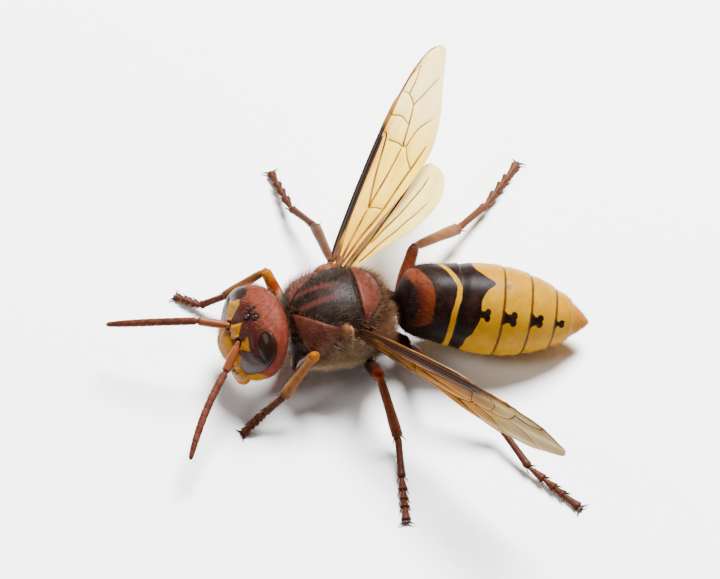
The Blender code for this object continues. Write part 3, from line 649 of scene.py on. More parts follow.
def eye_rings(side):
    """The outline drawn in towards its middle, lifted as a shallow dome, with a sunk back."""
    back = np.concatenate([np.linspace(0.05, 0.95, 6), np.ones(2)])
    share = np.concatenate([back, np.linspace(0.995, 0.03, 40)])
    flat = EYE_CENTRE + (EYE_OUTLINE - EYE_CENTRE)[None] * share[:, None, None]
    y, z = flat[..., 0], flat[..., 1]
    swelling = 0.29 - 0.10 * ((y + 0.85) / 0.8) ** 2 - 0.12 * (z / 1.9) ** 2
    rim = distance_to(np.concatenate([EYE_OUTLINE, EYE_OUTLINE[:1]]), y, z)
    lift = swelling * rise(rim, -0.02, 0.26)
    lift[len(back):] = blurred(lift[len(back):], 30)
    lift[:len(back)] = -0.35
    lift[len(back) - 1] = -0.10
    out = head_side(y, z) + lift
    return np.concatenate([(side * out)[..., None], flat], axis=-1)


eye_gloss = Finish("eye", Roughness=0.32, Specular_IOR_Level=0.05, Coat_Weight=0.14, Coat_Roughness=0.10)
place = eye_gloss.place(HEAD_PLACE, HEAD_TURN)
y, z = eye_gloss.split(place)[1:]
# the lower lobe's grey-mauve is a painted reflection; the lens itself is dark brown
painted_reflection_lobe = (z + y * 0.55 + (eye_gloss.noise(place, 1.2) - 0.5) * 0.5).rise(-0.2, -0.75)
lens_colour = eye_gloss.mix(painted_reflection_lobe, (0.0110, 0.0030, 0.0012), (0.042, 0.025, 0.022))
facets = eye_gloss.node("ShaderNodeTexVoronoi", {"feature": "DISTANCE_TO_EDGE"},
                        {"Vector": place, "Scale": FACETS_PER_MM})
eye_gloss.use(Base_Color=lens_colour)
eye_gloss.bump(facets.rise(0.0, 0.12), 0.0035)
for label, side in SIDES.items():
    rings = put(eye_rings(side), HEAD_PLACE, HEAD_TURN)
    build("eye_lens_" + label, [skin(rings)], eye_gloss, ["eye_" + label])

# %% [markdown]
# ## The three small eyes
# Three simple eyes, the ocelli, sit in a triangle on the crown. Each is a glassy ball
# half sunk in the head, with a shallow groove round it. They need only a colour that
# drifts between two tones, as do the claws and the hairs of the legs and wing caps, so
# one function makes those four finishes.

# %% Ocelli
def two_toned(name, scale, low, high, **fixed):
    """A finish whose colour drifts between two tones, and the place that it reads."""
    finish = Finish(name, **fixed)
    place = finish.place()
    finish.use(Base_Color=finish.mix(finish.noise(place, scale), low, high))
    return finish, place


ocellus_glass, place = two_toned("ocellus", 3.0, (0.005, 0.0025, 0.002), (0.016, 0.006, 0.004),
                                 Roughness=0.25, Coat_Weight=0.2, Coat_Roughness=0.08)
fall = np.linspace(0.02, np.pi - 0.02, 16)[:, None]
round_it = circle(24)[None, :]
ball = np.stack(np.broadcast_arrays(np.sin(fall) * np.cos(round_it), np.sin(fall) * np.sin(round_it),
                                    np.cos(fall)), axis=-1)
domes = [skin(put(ball * OCELLUS_RADIUS + spot, HEAD_PLACE, HEAD_TURN)) for spot in OCELLI]
build("ocelli", domes, ocellus_glass, [])

# %% [markdown]
# ## The jaws
# Each mandible hinges under the cheek and crosses below the lip shield. It is a
# flattened horn with blunt teeth on its inner edge near the end. Its section is
# carried along a short curve, and the teeth are a wave added to one side of it.

# %% Mandibles
JAW_POINTS = [(2.05, -0.70, -2.20), (1.80, -0.80, -2.95), (1.05, -0.85, -3.25), (0.30, -0.85, -3.30)]
JAW_SIZES = [(0.0, 0.48, 0.38), (0.30, 0.50, 0.42), (0.65, 0.34, 0.34), (0.92, 0.20, 0.20), (1.0, 0.08, 0.08)]


def jaw_rings(side):
    share = np.linspace(0, 1, 60)
    path = curve(JAW_POINTS, len(share)) * np.array([side, 1, 1])
    rings = tube(path, smooth(JAW_SIZES, share, 1), smooth(JAW_SIZES, share, 2), 36, up=(0, 1, 0))
    angle = circle(36)
    bite = np.maximum(np.sin(share * 34), 0) * rise(share, 0.45, 0.6) * 0.12
    inner = np.maximum(np.cos(angle) * -side, 0) ** 2
    return rings + normals_of(rings) * (bite[:, None] * inner[None, :])[..., None]


jaw_horn = Finish("jaw", Roughness=0.34, Coat_Weight=0.05, Coat_Roughness=0.15)
place = jaw_horn.place(HEAD_PLACE, HEAD_TURN)
x = jaw_horn.split(place)[0]
tone = jaw_horn.mix(jaw_horn.noise(place, 2.2), EGG_YELLOW, OCHRE)
jaw_horn.use(Base_Color=jaw_horn.mix(abs(x).rise(1.3, 0.7), tone, BLACK_BROWN))
jaw_horn.bump(jaw_horn.noise(place, 9.0), 0.02)
for label, side in SIDES.items():
    rings = put(jaw_rings(side), HEAD_PLACE, HEAD_TURN)
    build("jaw_" + label, [skin(rings)], jaw_horn, ["mandible_" + label])

# %% [markdown]
# ## The feelers
# An antenna is a long first article (the scape), a tiny hinge article and a whip of
# ten short ones. The whip follows a bend between two directions, and its radius dips
# at every joint, by a power of a cosine so that each article stays cylindrical.

# %% Feelers
FEELERS = {
    "left": {"scape": (41, -29), "whip": [(3.6, 40, -6), (3.7, 26, -18)]},
    "right": {"scape": (72, 7), "whip": [(3.5, 71, -10), (3.5, 65, -20)]},
}
SCAPE_LENGTH = 2.3
SCAPE_SUNK = 0.12
SCAPE_SIZES = [(0.0, 0.16), (0.05, 0.21), (0.12, 0.20), (0.25, 0.26), (0.80, 0.315), (0.94, 0.30),
               (1.0, 0.20)]
WHIP_ARTICLES = 11
WHIP_RADIUS = 0.285


def feeler_paths(label):
    """The scape's two ends, and the whip as a quadratic curve over two bends."""
    root = put(FEELER_SOCKET * [SIDES[label], 1, 1], HEAD_PLACE, HEAD_TURN)
    way = direction(SIDES[label], *FEELERS[label]["scape"])
    elbow = root + way * SCAPE_LENGTH
    bends = [elbow - way * 0.05]
    for length, heading, pitch in FEELERS[label]["whip"]:
        bends.append(bends[-1] + direction(SIDES[label], heading, pitch) * length)
    share = np.linspace(0, 1, 12 * WHIP_ARTICLES + 1)[:, None]
    whip = bends[0] * (1 - share) ** 2 + 2 * bends[1] * share * (1 - share) + bends[2] * share ** 2
    return root, way, whip


feeler_red = Finish("feeler", Roughness=0.5, Specular_IOR_Level=0.05)
place = feeler_red.place()
along_share = feeler_red.surface_map()[1]
joint = abs((along_share * WHIP_ARTICLES).maths("FRACT") - 0.5).rise(0.40, 0.49)
tone = feeler_red.patchy(place, 1.6, (0.042, 0.0105, 0.0055), (0.082, 0.022, 0.011), edges=(0.3, 0.7))
feeler_red.use(Base_Color=feeler_red.mix(joint * 0.45, tone, CHESTNUT))
feeler_red.bump(feeler_red.noise(place, 22.0), 0.012)

scape_orange = Finish("scape", Roughness=0.36)
place = scape_orange.place()
round_share, along_share = scape_orange.surface_map()
beneath = abs(round_share - 0.75).rise(0.28, 0.12)
tone = scape_orange.mix(beneath, (0.125, 0.032, 0.0085), OCHRE)
scape_orange.use(Base_Color=scape_orange.mix(along_share.rise(0.88, 1.0) * 0.6, tone, CHESTNUT))
scape_orange.bump(scape_orange.noise(place, 16.0), 0.012)

for label in SIDES:
    root, way, whip = feeler_paths(label)
    share = np.linspace(0, 1, 70)
    out = share * SCAPE_LENGTH - SCAPE_SUNK * (1 - share)
    rings = tube(root + way * out[:, None], smooth(SCAPE_SIZES, share, 1))
    build("feeler_base_" + label, [skin(rings)], scape_orange, ["scape_" + label])
    share = np.linspace(0, 1, len(whip))
    joints = np.abs(np.cos(np.pi * share * WHIP_ARTICLES)) ** 14
    radius = WHIP_RADIUS * (1 - 0.45 * share ** 6) * (1 - 0.08 * joints) * rise(share, -0.02, 0.05) ** 0.5
    radius[-6:] *= np.sqrt(1 - np.linspace(0.1, 0.97, 6) ** 2)
    build("feeler_whip_" + label, [skin(tube(whip, radius))], feeler_red, ["flagellum_" + label])

# %% [markdown]
# ## The thorax
# The middle of the body is a short barrel that holds the flight muscles. It is one
# shell here, lofted through a table of sections from the neck to the waist, with the
# seams between its plates pressed in as grooves: the collar, the big back shield, the
# little shield behind it and the steep rear wall.

# %% Thorax form
THORAX_CENTRE = -0.15
THORAX_SECTIONS = [
    (-5.10, 5.10, 3.60, 0.75), (-4.40, 5.12, 3.45, 0.82), (-4.05, 5.25, 3.25, 1.15),
    (-3.70, 5.75, 2.70, 1.90), (-3.00, 6.55, 2.15, 2.70), (-2.00, 7.15, 1.75, 3.15),
    (-0.60, 7.50, 1.55, 3.35), (0.80, 7.50, 1.55, 3.35), (2.00, 7.15, 1.65, 3.10),
    (3.00, 6.45, 1.95, 2.55), (3.60, 5.60, 2.45, 1.80), (3.95, 4.85, 3.00, 0.90),
]
THORAX_POWER = 2.25
COLLAR_SEAM = [(0.16, -3.42), (0.8, -2.9), (1.69, -1.97), (2.25, -1.1), (2.50, -0.45), (2.55, 0.3)]
MIDLINE = -0.50
SHIELD_FRONT = 1.55
SHIELD_REAR = 3.45
SHIELD_BEND = 0.20


def signed_power(value, power):
    return np.sign(value) * np.abs(value) ** power


def thorax_relief(x, y, z):
    """Seams as grooves and plates as low swellings, in the insect's millimetres."""
    side = np.abs(x - THORAX_CENTRE)
    upper = rise(z, 4.6, 5.4)
    relief = -0.15 * hill(distance_to(COLLAR_SEAM, side, y), 0, 0.11) * upper
    relief -= 0.18 * hill(y, SHIELD_FRONT, 0.11) * upper
    relief -= 0.03 * hill(side, 0.0, 0.06) * rise(-y, 0.5, 2.6) * rise(y, -3.3, -3.0) * upper
    side_line = hill(side - 1.25 - 0.12 * y, 0, 0.06) * rise(1.3 - y, 0, 0.3) * rise(y, -2.2, -1.6)
    relief -= 0.012 * side_line * upper
    middle = np.abs(x - MIDLINE)
    shield_rear = SHIELD_REAR - SHIELD_BEND * middle ** 2
    share = np.clip((y - SHIELD_FRONT) / np.maximum(shield_rear - SHIELD_FRONT, 0.2), 0, 1)
    relief += 0.24 * np.sqrt(np.maximum(share * (1 - share), 0)) * rise(2.7 - middle, 0, 0.5) * upper
    relief -= 0.16 * hill(y - shield_rear, 0, 0.10) * rise(2.8 - middle, 0, 0.4) * upper
    relief -= 0.10 * hill(side, 0, 0.22) * rise(y, 3.5, 3.8)
    flank = rise(side, 2.2, 2.7)
    relief -= 0.10 * hill(distance_to([(-2.5, 4.6), (-0.9, 2.2)], y, z), 0, 0.10) * flank
    relief -= 0.10 * hill(distance_to([(1.5, 5.4), (1.2, 3.6), (1.9, 2.0)], y, z), 0, 0.10) * flank
    relief -= 0.08 * hill(distance_to([(-1.6, 3.6), (0.1, 4.3), (1.2, 3.6)], y, z), 0, 0.10) * flank
    return relief


stations = np.linspace(THORAX_SECTIONS[0][0], THORAX_SECTIONS[-1][0], 230)
top, under, half_width = (smooth(THORAX_SECTIONS, stations, column)[:, None] for column in (1, 2, 3))
angle = circle(200)[None, :]
thorax_rings = np.stack(np.broadcast_arrays(
    THORAX_CENTRE + half_width * signed_power(np.cos(angle), 2 / THORAX_POWER),
    stations[:, None],
    (top + under) / 2 + signed_power(np.sin(angle), 2 / THORAX_POWER) * (top - under) / 2), axis=-1)
thorax_rings = blurred(thorax_rings, 3)
relief = thorax_relief(*np.moveaxis(thorax_rings, -1, 0))
thorax_rings = thorax_rings + normals_of(thorax_rings) * relief[..., None]
print("thorax is", np.round(np.ptp(thorax_rings, axis=(0, 1)), 2), "mm")

# %% [markdown]
# ## The thorax's colours
# The back shield is black-brown with two dull red stripes and a painted sheen in its
# middle, the collar and the little shield are red-brown, the collar's front face behind
# the head is painted near-black as painted shade, and the seams on top are dark lines.
# Inequalities draw them as on the head, here in the insect's own millimetres.

# %% Thorax finish
def thorax_colour(finish):
    """Black-brown back shield, two dull red stripes, painted sheen; red-brown collar and little shield;
    painted shade in front.
    """
    place = finish.place()
    ragged = (finish.noise(place, 1.7) - 0.5) * 0.5
    x, y, z = finish.split(place)
    side = abs(x - THORAX_CENTRE)
    middle = abs(x - MIDLINE)
    upper = z.rise(4.9, 5.5)
    shade = finish.patchy(place, 1.1, BLACK_BROWN, (0.014, 0.0080, 0.0064))
    shade = finish.mix(z.rise(5.2, 4.2), shade, (0.040, 0.0195, 0.0115))
    seam = side * 0.55 + side * side * 0.26 - y - 3.45
    # front: the collar's face behind the head is painted near-black, as painted shade in the gap between head
    # and thorax
    front = (y + z * 0.32 + ragged * 0.2).rise(-1.02, -1.36)
    behind = (y - (z - 5.6) * 0.8 + ragged * 0.3).rise(-0.40, -0.80)
    collar = (seam + ragged * 0.1).rise(0.0, 0.15) * behind * z.rise(3.4, 3.9)
    plate = finish.patchy(place, 1.3, MAHOGANY, (0.088, 0.0215, 0.0130))
    colour = finish.mix(collar, shade, plate)
    stripe = abs(side - 0.54 + y * 0.05 + ragged * 0.25)
    length = (y + ragged).within(-3.6, 0.2, 0.9)
    stripe = stripe.rise(0.36, 0.04) * length * z.rise(5.6, 6.0) * (1 - collar)
    # a painted sheen: a broad dull-red patch in the middle of the back shield, where the lamp's soft
    # highlight falls
    painted_sheen = (y + ragged).within(-1.3, 0.5, 0.7) * side.rise(0.9, 0.2) * 0.25
    colour = finish.mix(stripe.most(painted_sheen) * 0.8, colour, (0.060, 0.0150, 0.0120))
    colour = finish.mix(front * 0.9, colour, BLACK_BROWN)
    edge = abs(seam).rise(0.16, 0.04) * y.rise(-0.4, -0.7)
    rear = (middle * middle) * -SHIELD_BEND + SHIELD_REAR
    shield = (y + ragged * 0.1).rise(SHIELD_FRONT, SHIELD_FRONT + 0.14) * (y - rear).rise(0.0, -0.12)
    shield = shield * middle.rise(2.75, 2.5) * upper
    blush = finish.patchy(place, 1.5, (0.062, 0.0120, 0.0070), (0.100, 0.0205, 0.0125))
    colour = finish.mix(shield, finish.mix(y.rise(1.4, 1.8), colour, CHESTNUT), blush)
    rim = abs(y - rear).rise(0.16, 0.04) * middle.rise(2.8, 2.5)
    edge = edge.most(abs(y - SHIELD_FRONT).rise(0.18, 0.06)).most(rim)
    return finish.mix(edge * upper, colour, BLACK_BROWN), place


thorax_shell = Finish("thorax_skin", Roughness=0.42, Specular_IOR_Level=0.07)
colour, place = thorax_colour(thorax_shell)
punctures = thorax_shell.pits(place, 6.5, 0.3)
thorax_shell.use(Base_Color=colour)
thorax_shell.bump(thorax_shell.noise(place, 12.0) * 0.5 - punctures, 0.02)
build("thorax_skin", [skin(thorax_rings)], thorax_shell, ["prothorax", "mesothorax", "metathorax"])

# %% [markdown]
# ## The wing caps
# A tegula is a small domed scale over each wing root, brown with a paler rear rim and
# painted lighter on top and darker below, as painted shade. It is a squashed ball with a
# groove pressed in ahead of the rim, by a bell across its length.

# %% Tegulae
tegula_brown = Finish("tegula", Roughness=0.45, Specular_IOR_Level=0.06)
place = tegula_brown.place()
x, y, z = tegula_brown.split(place)
shift = (tegula_brown.noise(place, 2.6) - 0.5) * 1.6
# lighter towards the top and darker below: painted shade on the cap's lower half
tone = tegula_brown.mix((z + shift).rise(5.2, 6.8), CHESTNUT, (0.105, 0.038, 0.014))
rim = (y + shift * 0.06 - x.rise(1.0, -1.0) * 0.4).rise(0.46, 0.56) * z.rise(5.2, 5.7)
tegula_brown.use(Base_Color=tegula_brown.mix(rim, tone, (0.26, 0.140, 0.070)))
tegula_brown.bump(tegula_brown.noise(place, 6.0), 0.07)
TEGULA_PLACES = {"left": (2.65, 0.20, 5.95), "right": (-2.95, 0.00, 5.95)}
TEGULA_SIZES = {"left": (0.58, 0.54, 0.84), "right": (0.70, 0.96, 0.62)}
caps = {}
for label in SIDES:
    cap = ball * TEGULA_SIZES[label]
    cap[..., [0, 2]] *= 1 - 0.14 * hill(ball[..., 1:2], 0.42, 0.10)
    caps[label] = cap + TEGULA_PLACES[label]
    build("wing_cap_" + label, [skin(caps[label])], tegula_brown, ["tegula_" + label])

# %% [markdown]
# ## The abdomen
# The hind body is a turned form of six rings. Each ring slides into the one before it,
# so at a joint the radius drops by a step and then swells again. Turning a profile
# gives the form, and the marks are drawn in its own frame by how far along (t) and how
# far round from the back (angle) a place lies.

# %% Abdomen form
ABDOMEN_PROFILE = [
    (-1.10, 0.45), (-0.50, 0.50), (-0.20, 1.20), (0.05, 1.85), (0.55, 2.32), (1.60, 2.65),
    (2.80, 2.85), (4.20, 3.08), (5.60, 3.24), (7.00, 3.25), (8.20, 3.10), (9.30, 2.85),
    (10.30, 2.50), (11.20, 2.10), (12.00, 1.65), (12.80, 1.00), (13.45, 0.42), (13.75, 0.10),
]
RING_ENDS = [3.65, 6.82, 8.90, 10.85, 12.25]
RING_STEP = 0.085

along = np.linspace(ABDOMEN_PROFILE[0][0], ABDOMEN_PROFILE[-1][0], 420)
radius = smooth(ABDOMEN_PROFILE, along, 1)
for end in RING_ENDS:
    drop = rise(along, end - 0.015, end + 0.03) * (1 - rise(along, end + 0.1, end + 0.9))
    radius = radius - RING_STEP * drop + 0.02 * hill(along, end - 0.10, 0.08)
angle = circle(160)[None, :]
flank = 1 - 0.012 * hill(np.abs(np.angle(np.exp(1j * angle))), math.radians(118), 0.10)
abdomen_rings = np.stack(np.broadcast_arrays(radius[:, None] * np.sin(angle) * flank, along[:, None],
                                             radius[:, None] * np.cos(angle) * flank), axis=-1)
print("abdomen is", round(float(np.ptp(along)), 2), "mm long")

# %% [markdown]
# ## The abdomen's marks
# Yellow meets black in waves. The wavy borders are tables of angle against distance,
# read as smooth lines. The second ring to the fifth each carry a black bow: a wedge, a
# bar and two joined lobes. A little noise keeps the borders from looking drawn.

# %% Abdomen finish
FIRST_BAND = [(-180, 2.4), (-100, 2.3), (-69, 2.56), (-36, 3.42), (-19, 3.62), (10, 3.42), (77, 3.40),
              (180, 3.3)]
ARCH_REAR = [(-180, 0.0), (-95, 0.2), (-70, 0.62), (-52, 1.0), (-36, 1.50), (-12, 1.92), (10, 1.95),
             (34, 1.82), (48, 0.95), (60, 0.2), (180, 0.0)]
ARCH_FRONT = [(-180, 0.2), (-90, 0.0), (-50, 0.05), (-30, 0.40), (0, 0.80), (30, 0.80), (48, 0.55),
              (180, 0.2)]
SECOND_BLACK = [(-180, 4.7), (-90, 4.6), (-67, 4.66), (-55, 5.05), (-45, 5.64), (-37, 6.16), (-28, 5.73),
                (-22, 5.50), (-14, 5.28), (-4, 5.25), (6, 5.32), (16, 5.22), (26, 5.06), (36, 4.90),
                (45, 4.62), (60, 4.56), (75, 4.48), (110, 4.6), (180, 4.7)]
# each bow's start, neck and end, its angle, its half widths at base and neck, and its lobes
BOWS = [(5.0, 5.3, 5.98, 6.0, 0.34, 0.25, 0.27), (6.90, 7.28, 7.94, 7.0, 0.54, 0.32, 0.31),
        (9.00, 9.34, 9.95, 6.5, 0.62, 0.36, 0.32), (10.92, 11.16, 11.66, 9.0, 0.54, 0.25, 0.26)]
SMUDGE_ANGLE = -36.0
SMUDGE_ALONG = 7.15
MM_PER_DEGREE = 0.055


def bow_tie(theta, along, start, neck, end, middle, half_base, half_neck, lobe):
    """A black mark from a ring's front edge: a wedge, a bar and two joined lobes, in millimetres."""
    across = abs(theta - middle) * MM_PER_DEGREE
    half = along.rise(start, neck) * (half_neck - half_base) + half_base
    bar = (across - half).rise(0.05, -0.05) * along.within(start - 0.1, end - lobe, 0.05)
    down = along - (end - lobe * 0.8)
    out = across - lobe * 0.75
    return bar.most((out * out + down * down * 1.6).rise(lobe * lobe * 1.25, lobe * lobe * 0.80))


def abdomen_colour(finish):
    """Yellow with black fore edges whose outline is read from a table of angle and distance."""
    place = finish.place(ABDOMEN_START, ABDOMEN_TURN)
    ragged = (finish.noise(place, 2.2) - 0.5) * 0.16
    x, along, z = finish.split(place)
    theta = x.maths("ARCTAN2", z) * (180 / math.pi)
    where = along + ragged * 0.7
    yellow = finish.patchy(place, 0.9, EGG_YELLOW, LEMON)
    yellow = finish.mix(along.rise(11.4, 13.4), yellow, OCHRE)
    dark = finish.patchy(place, 1.4, BLACK_BROWN, (0.014, 0.0055, 0.0040), edges=(0.4, 0.7))
    first = abs(where - finish.line(theta, FIRST_BAND)).rise(0.23, 0.15)
    first = first * along.rise(4.2, 3.9)
    second = (where - finish.line(theta, SECOND_BLACK)).rise(0.03, -0.03)
    black = second * (1 - first)
    theta = theta + ragged * 14.0
    for bow in BOWS:
        black = black.most(bow_tie(theta, along, *bow))
    smudge = ((theta - SMUDGE_ANGLE) * MM_PER_DEGREE).power(2.0) + (along - SMUDGE_ALONG).power(2.0)
    yellow = finish.mix(smudge.rise(0.10, 0.01) * 0.6, yellow, (0.060, 0.0220, 0.0040))
    colour = finish.mix(black, yellow, dark)
    for end in RING_ENDS[1:4]:
        seam = abs(where - end - 0.06).rise(0.16, 0.05)
        colour = finish.mix(seam * 0.9, colour, (0.030, 0.0095, 0.0025))
    inner = where - finish.line(theta, ARCH_FRONT)
    arch = (finish.line(theta, ARCH_REAR) - where).rise(-0.08, 0.06) * inner.rise(-0.12, 0.12)
    red = finish.mix(inner.rise(0.0, 0.9), (0.024, 0.0035, 0.0014), (0.078, 0.0130, 0.0032))
    red = finish.mix(theta.rise(-15.0, -50.0), red, (0.088, 0.0205, 0.0070))
    return finish.mix(arch, colour, red), place


abdomen_shell = Finish("abdomen_skin", Specular_IOR_Level=0.035)
colour, place = abdomen_colour(abdomen_shell)
punctures = abdomen_shell.pits(place, 5.0, 0.16)
along = abdomen_shell.split(place)[1]
abdomen_shell.use(Base_Color=abdomen_shell.mix(punctures * 0.35, colour, MAHOGANY),
                  Roughness=along.rise(2.6, 0.6) * 0.35 + 0.34)
abdomen_shell.bump(abdomen_shell.noise(place, 9.0) * 0.5 - punctures * 0.8, 0.014)
build("abdomen_skin", [skin(put(abdomen_rings, ABDOMEN_START, ABDOMEN_TURN))], abdomen_shell,
      [f"abdomen_{number}" for number in range(1, 7)])

# %% [markdown]
# ## The legs
# A leg is a chain of shells: a stout hip, the thigh, the shin and a foot of five
# articles that ends in two claws. Each shell is an ellipse carried along a slightly
# bowed line, with its end sunk into the next, as the real joints are. The same table
# of lengths and directions as the solid model's places them.

# %% Leg plan
LEGS = {
    "fore_left": {"hip": (1.25, -2.70, 2.60), "coxa": (1.4, 27, -30), "femur": (4.4, -25, 63),
                  "tibia": (4.1, 73, -50), "basitarsus": (1.8, 81, -38), "toes": (2.2, 76)},
    "fore_right": {"hip": (1.45, -2.50, 2.60), "coxa": (1.2, 27, -34), "femur": (3.9, 22, 43),
                   "tibia": (4.1, 81, -42), "basitarsus": (2.1, 73, -35), "toes": (2.1, 45)},
    "mid_left": {"hip": (1.50, 1.20, 2.40), "coxa": (1.3, -25, -20), "femur": (4.3, -2, 37),
                 "tibia": (4.6, -11, -46), "basitarsus": (3.1, 8, -13), "toes": (3.5, 8)},
    "mid_right": {"hip": (1.50, 1.20, 2.40), "coxa": (1.3, -25, -20), "femur": (3.6, 25, 50),
                  "tibia": (5.3, 1, -22), "basitarsus": (3.5, 20, -23), "toes": (4.6, 7)},
    "hind_left": {"hip": (1.35, 2.90, 2.50), "coxa": (2.2, -76, -17), "femur": (4.7, -4, 34),
                  "tibia": (6.6, -47, -26), "basitarsus": (4.0, -22, -14), "toes": (4.7, -35)},
    "hind_right": {"hip": (1.35, 2.90, 2.50), "coxa": (2.2, -76, -17), "femur": (4.4, -34, 38),
                   "tibia": (6.0, -52, -30), "basitarsus": (3.6, -49, -14), "toes": (4.9, -42)},
}
FOOT_HEIGHT = 0.20
HIP_RADIUS = {"fore": 0.72, "mid": 0.80, "hind": 0.85}
THIGH_RADIUS = {"fore": 0.50, "mid": 0.50, "hind": 0.52}
SHIN_RADIUS = {"fore": 0.34, "mid": 0.36, "hind": 0.40}
TOE_RADIUS = 0.29
TOE_ENDS = [0.0, 0.30, 0.52, 0.70, 1.0]
HIP_SIZES = [(0.0, 0.9), (0.35, 1.0), (0.75, 0.92), (0.93, 0.66), (1.0, 0.30)]
THIGH_SIZES = [(0.0, 0.35), (0.03, 0.56), (0.10, 0.62), (0.14, 0.56), (0.20, 0.74), (0.45, 1.00),
               (0.80, 0.85), (0.94, 0.74), (0.985, 0.55), (1.0, 0.20)]
SHIN_SIZES = [(0.0, 0.40), (0.03, 0.78), (0.07, 0.70), (0.14, 0.80), (0.55, 1.00), (0.90, 1.12),
              (0.975, 1.02), (1.0, 0.60)]
LONG_TOE_SIZES = [(0.0, 0.60), (0.05, 0.80), (0.30, 0.84), (0.60, 0.88), (0.85, 0.98), (0.96, 1.05),
                  (1.0, 0.70)]
TOE_SIZES = [(0.0, 0.52), (0.15, 0.60), (0.40, 0.76), (0.65, 0.98), (0.85, 1.20), (0.95, 1.16), (1.0, 0.50)]
LIMB_ROWS = 44
LIMB_COLUMNS = 28
LEG_UP = (0.1, 0.2, 0.97)
CLEAR_OF_FLOOR = 0.004


def leg_points(name):
    """The leg's joints, from hip to foot, and the direction of each part."""
    side = SIDES[name.split("_")[1]]
    plan = LEGS[name]
    points = [np.array([THORAX_CENTRE + side * plan["hip"][0], *plan["hip"][1:]])]
    ways = []
    for part in ("coxa", "femur", "tibia", "basitarsus"):
        length, heading, pitch = plan[part]
        ways.append(direction(side, heading, pitch))
        points.append(points[-1] + ways[-1] * length)
    length, heading = plan["toes"]
    drop = math.degrees(math.asin((FOOT_HEIGHT - points[-1][2]) / length))
    ways.append(direction(side, heading, drop))
    points.append(points[-1] + ways[-1] * length)
    return points, ways


def limb(start, end, radius, sizes, flat, bow):
    """Ellipses along a line bowed upward by a sine, with radii read from a table of shares."""
    share = np.linspace(0, 1, LIMB_ROWS)
    path = start + (end - start) * share[:, None]
    path = path + np.array([0, 0, 1]) * bow * np.sin(np.pi * share)[:, None]
    wide = smooth(sizes, share, 1) * radius
    return tube(path, wide, wide * flat, LIMB_COLUMNS, up=LEG_UP)


def leg_patches(name):
    """All shells of one leg; the map's second number counts them: 0 hip, 1 thigh, 2 shin, 3 on foot."""
    pair = name.split("_")[0]
    (hip, hinge, knee, ankle, sole, foot), ways = leg_points(name)
    shells = [
        (hip - ways[0] * 0.8, hinge + ways[0] * 0.15, HIP_RADIUS[pair], HIP_SIZES, 0.95, 0.0),
        (hinge - ways[1] * 0.25, knee + ways[1] * 0.12, THIGH_RADIUS[pair], THIGH_SIZES, 0.92, 0.06),
        (knee - ways[2] * 0.18, ankle + ways[2] * 0.03, SHIN_RADIUS[pair], SHIN_SIZES, 0.86, 0.05),
        (ankle - ways[3] * 0.10, sole, TOE_RADIUS, LONG_TOE_SIZES, 0.85, 0.02),
    ]
    for low, high in zip(TOE_ENDS, TOE_ENDS[1:]):
        start = sole + (foot - sole) * low - ways[4] * 0.06
        shells.append((start, sole + (foot - sole) * high, TOE_RADIUS, TOE_SIZES, 0.78, 0.0))
    patches = []
    for number, (start, end, radius, sizes, flat, bow) in enumerate(shells):
        rings = limb(start, end, radius, sizes, flat, bow)
        rings[..., 2] = np.maximum(rings[..., 2], CLEAR_OF_FLOOR)
        patches.append(skin(rings, (number / 8 + 0.002, (number + 1) / 8 - 0.002)))
    return patches


print(len(LEGS), "legs planned")

# %% [markdown]
# ## Leg colours
# Each leg has tones of its own, and most darken from the shin up to the hip. The right
# hind leg's shin and foot are painted paler, as painted light where the lamp falls on
# them. One ramp over the map's second number gives each shell its tone and blends them at
# the joints, and the same number finds the joints' rims, which are nearly black.

# %% Leg finish
RED_BROWN = (0.050, 0.0125, 0.0065)
SHIN_BROWN = (0.085, 0.0215, 0.0085)
# tones in order: hip, thigh, knee, shin, foot
LEG_TONES = {
    "fore_left": (CHESTNUT, MAHOGANY, OCHRE, (0.155, 0.060, 0.016), RED_BROWN),
    "fore_right": (CHESTNUT, ORANGE_RED, OCHRE, (0.12, 0.040, 0.011), RED_BROWN),
    "mid_left": (BLACK_BROWN, (0.018, 0.0055, 0.0035), ORANGE_RED, SHIN_BROWN, RED_BROWN),
    "mid_right": (BLACK_BROWN, (0.045, 0.014, 0.006), SHIN_BROWN, (0.045, 0.0150, 0.006),
                  (0.042, 0.0120, 0.0055)),
    "hind_left": (MAHOGANY, CHESTNUT, ORANGE_RED, SHIN_BROWN, RED_BROWN),
    # the paler shin and foot here are painted light, where the lamp falls on this leg
    "hind_right": (BLACK_BROWN, (0.095, 0.0160, 0.0045), SHIN_BROWN, (0.140, 0.052, 0.014),
                   (0.080, 0.026, 0.011)),
}


def leg_finish(name, hip_tone, thigh_tone, knee_tone, shin_tone, foot_tone):
    """One tone for each shell, blended at the joints and darker at every joint's rim."""
    finish = Finish(name, Roughness=0.38, Specular_IOR_Level=0.06)
    place = finish.place()
    along = finish.surface_map()[1]
    stops = [(0.0, hip_tone), (0.118, hip_tone), (0.135, thigh_tone), (0.215, thigh_tone), (0.238, knee_tone),
             (0.256, knee_tone), (0.275, shin_tone), (0.350, shin_tone), (0.372, foot_tone), (1.0, foot_tone)]
    colour = finish.ramp(along + (finish.noise(place, 2.0) - 0.5) * 0.02, stops)
    mottle = finish.noise(place, 3.0).rise(0.4, 0.75)
    colour = finish.mix(mottle * 0.45, colour, CHESTNUT)
    rim = abs((along * 8.0).maths("FRACT") - 0.5).rise(0.455, 0.495)
    finish.use(Base_Color=finish.mix(rim * 0.8, colour, BLACK_BROWN))
    finish.bump(finish.noise(place, 13.0) * 0.6 - finish.pits(place, 6.0, 0.2), 0.016)
    return finish


for name, tones in LEG_TONES.items():
    nodes = [f"{part}_{name}" for part in ("coxa", "femur", "tibia", "tarsus")]
    build("leg_" + name, leg_patches(name), leg_finish("leg_" + name, *tones), nodes)

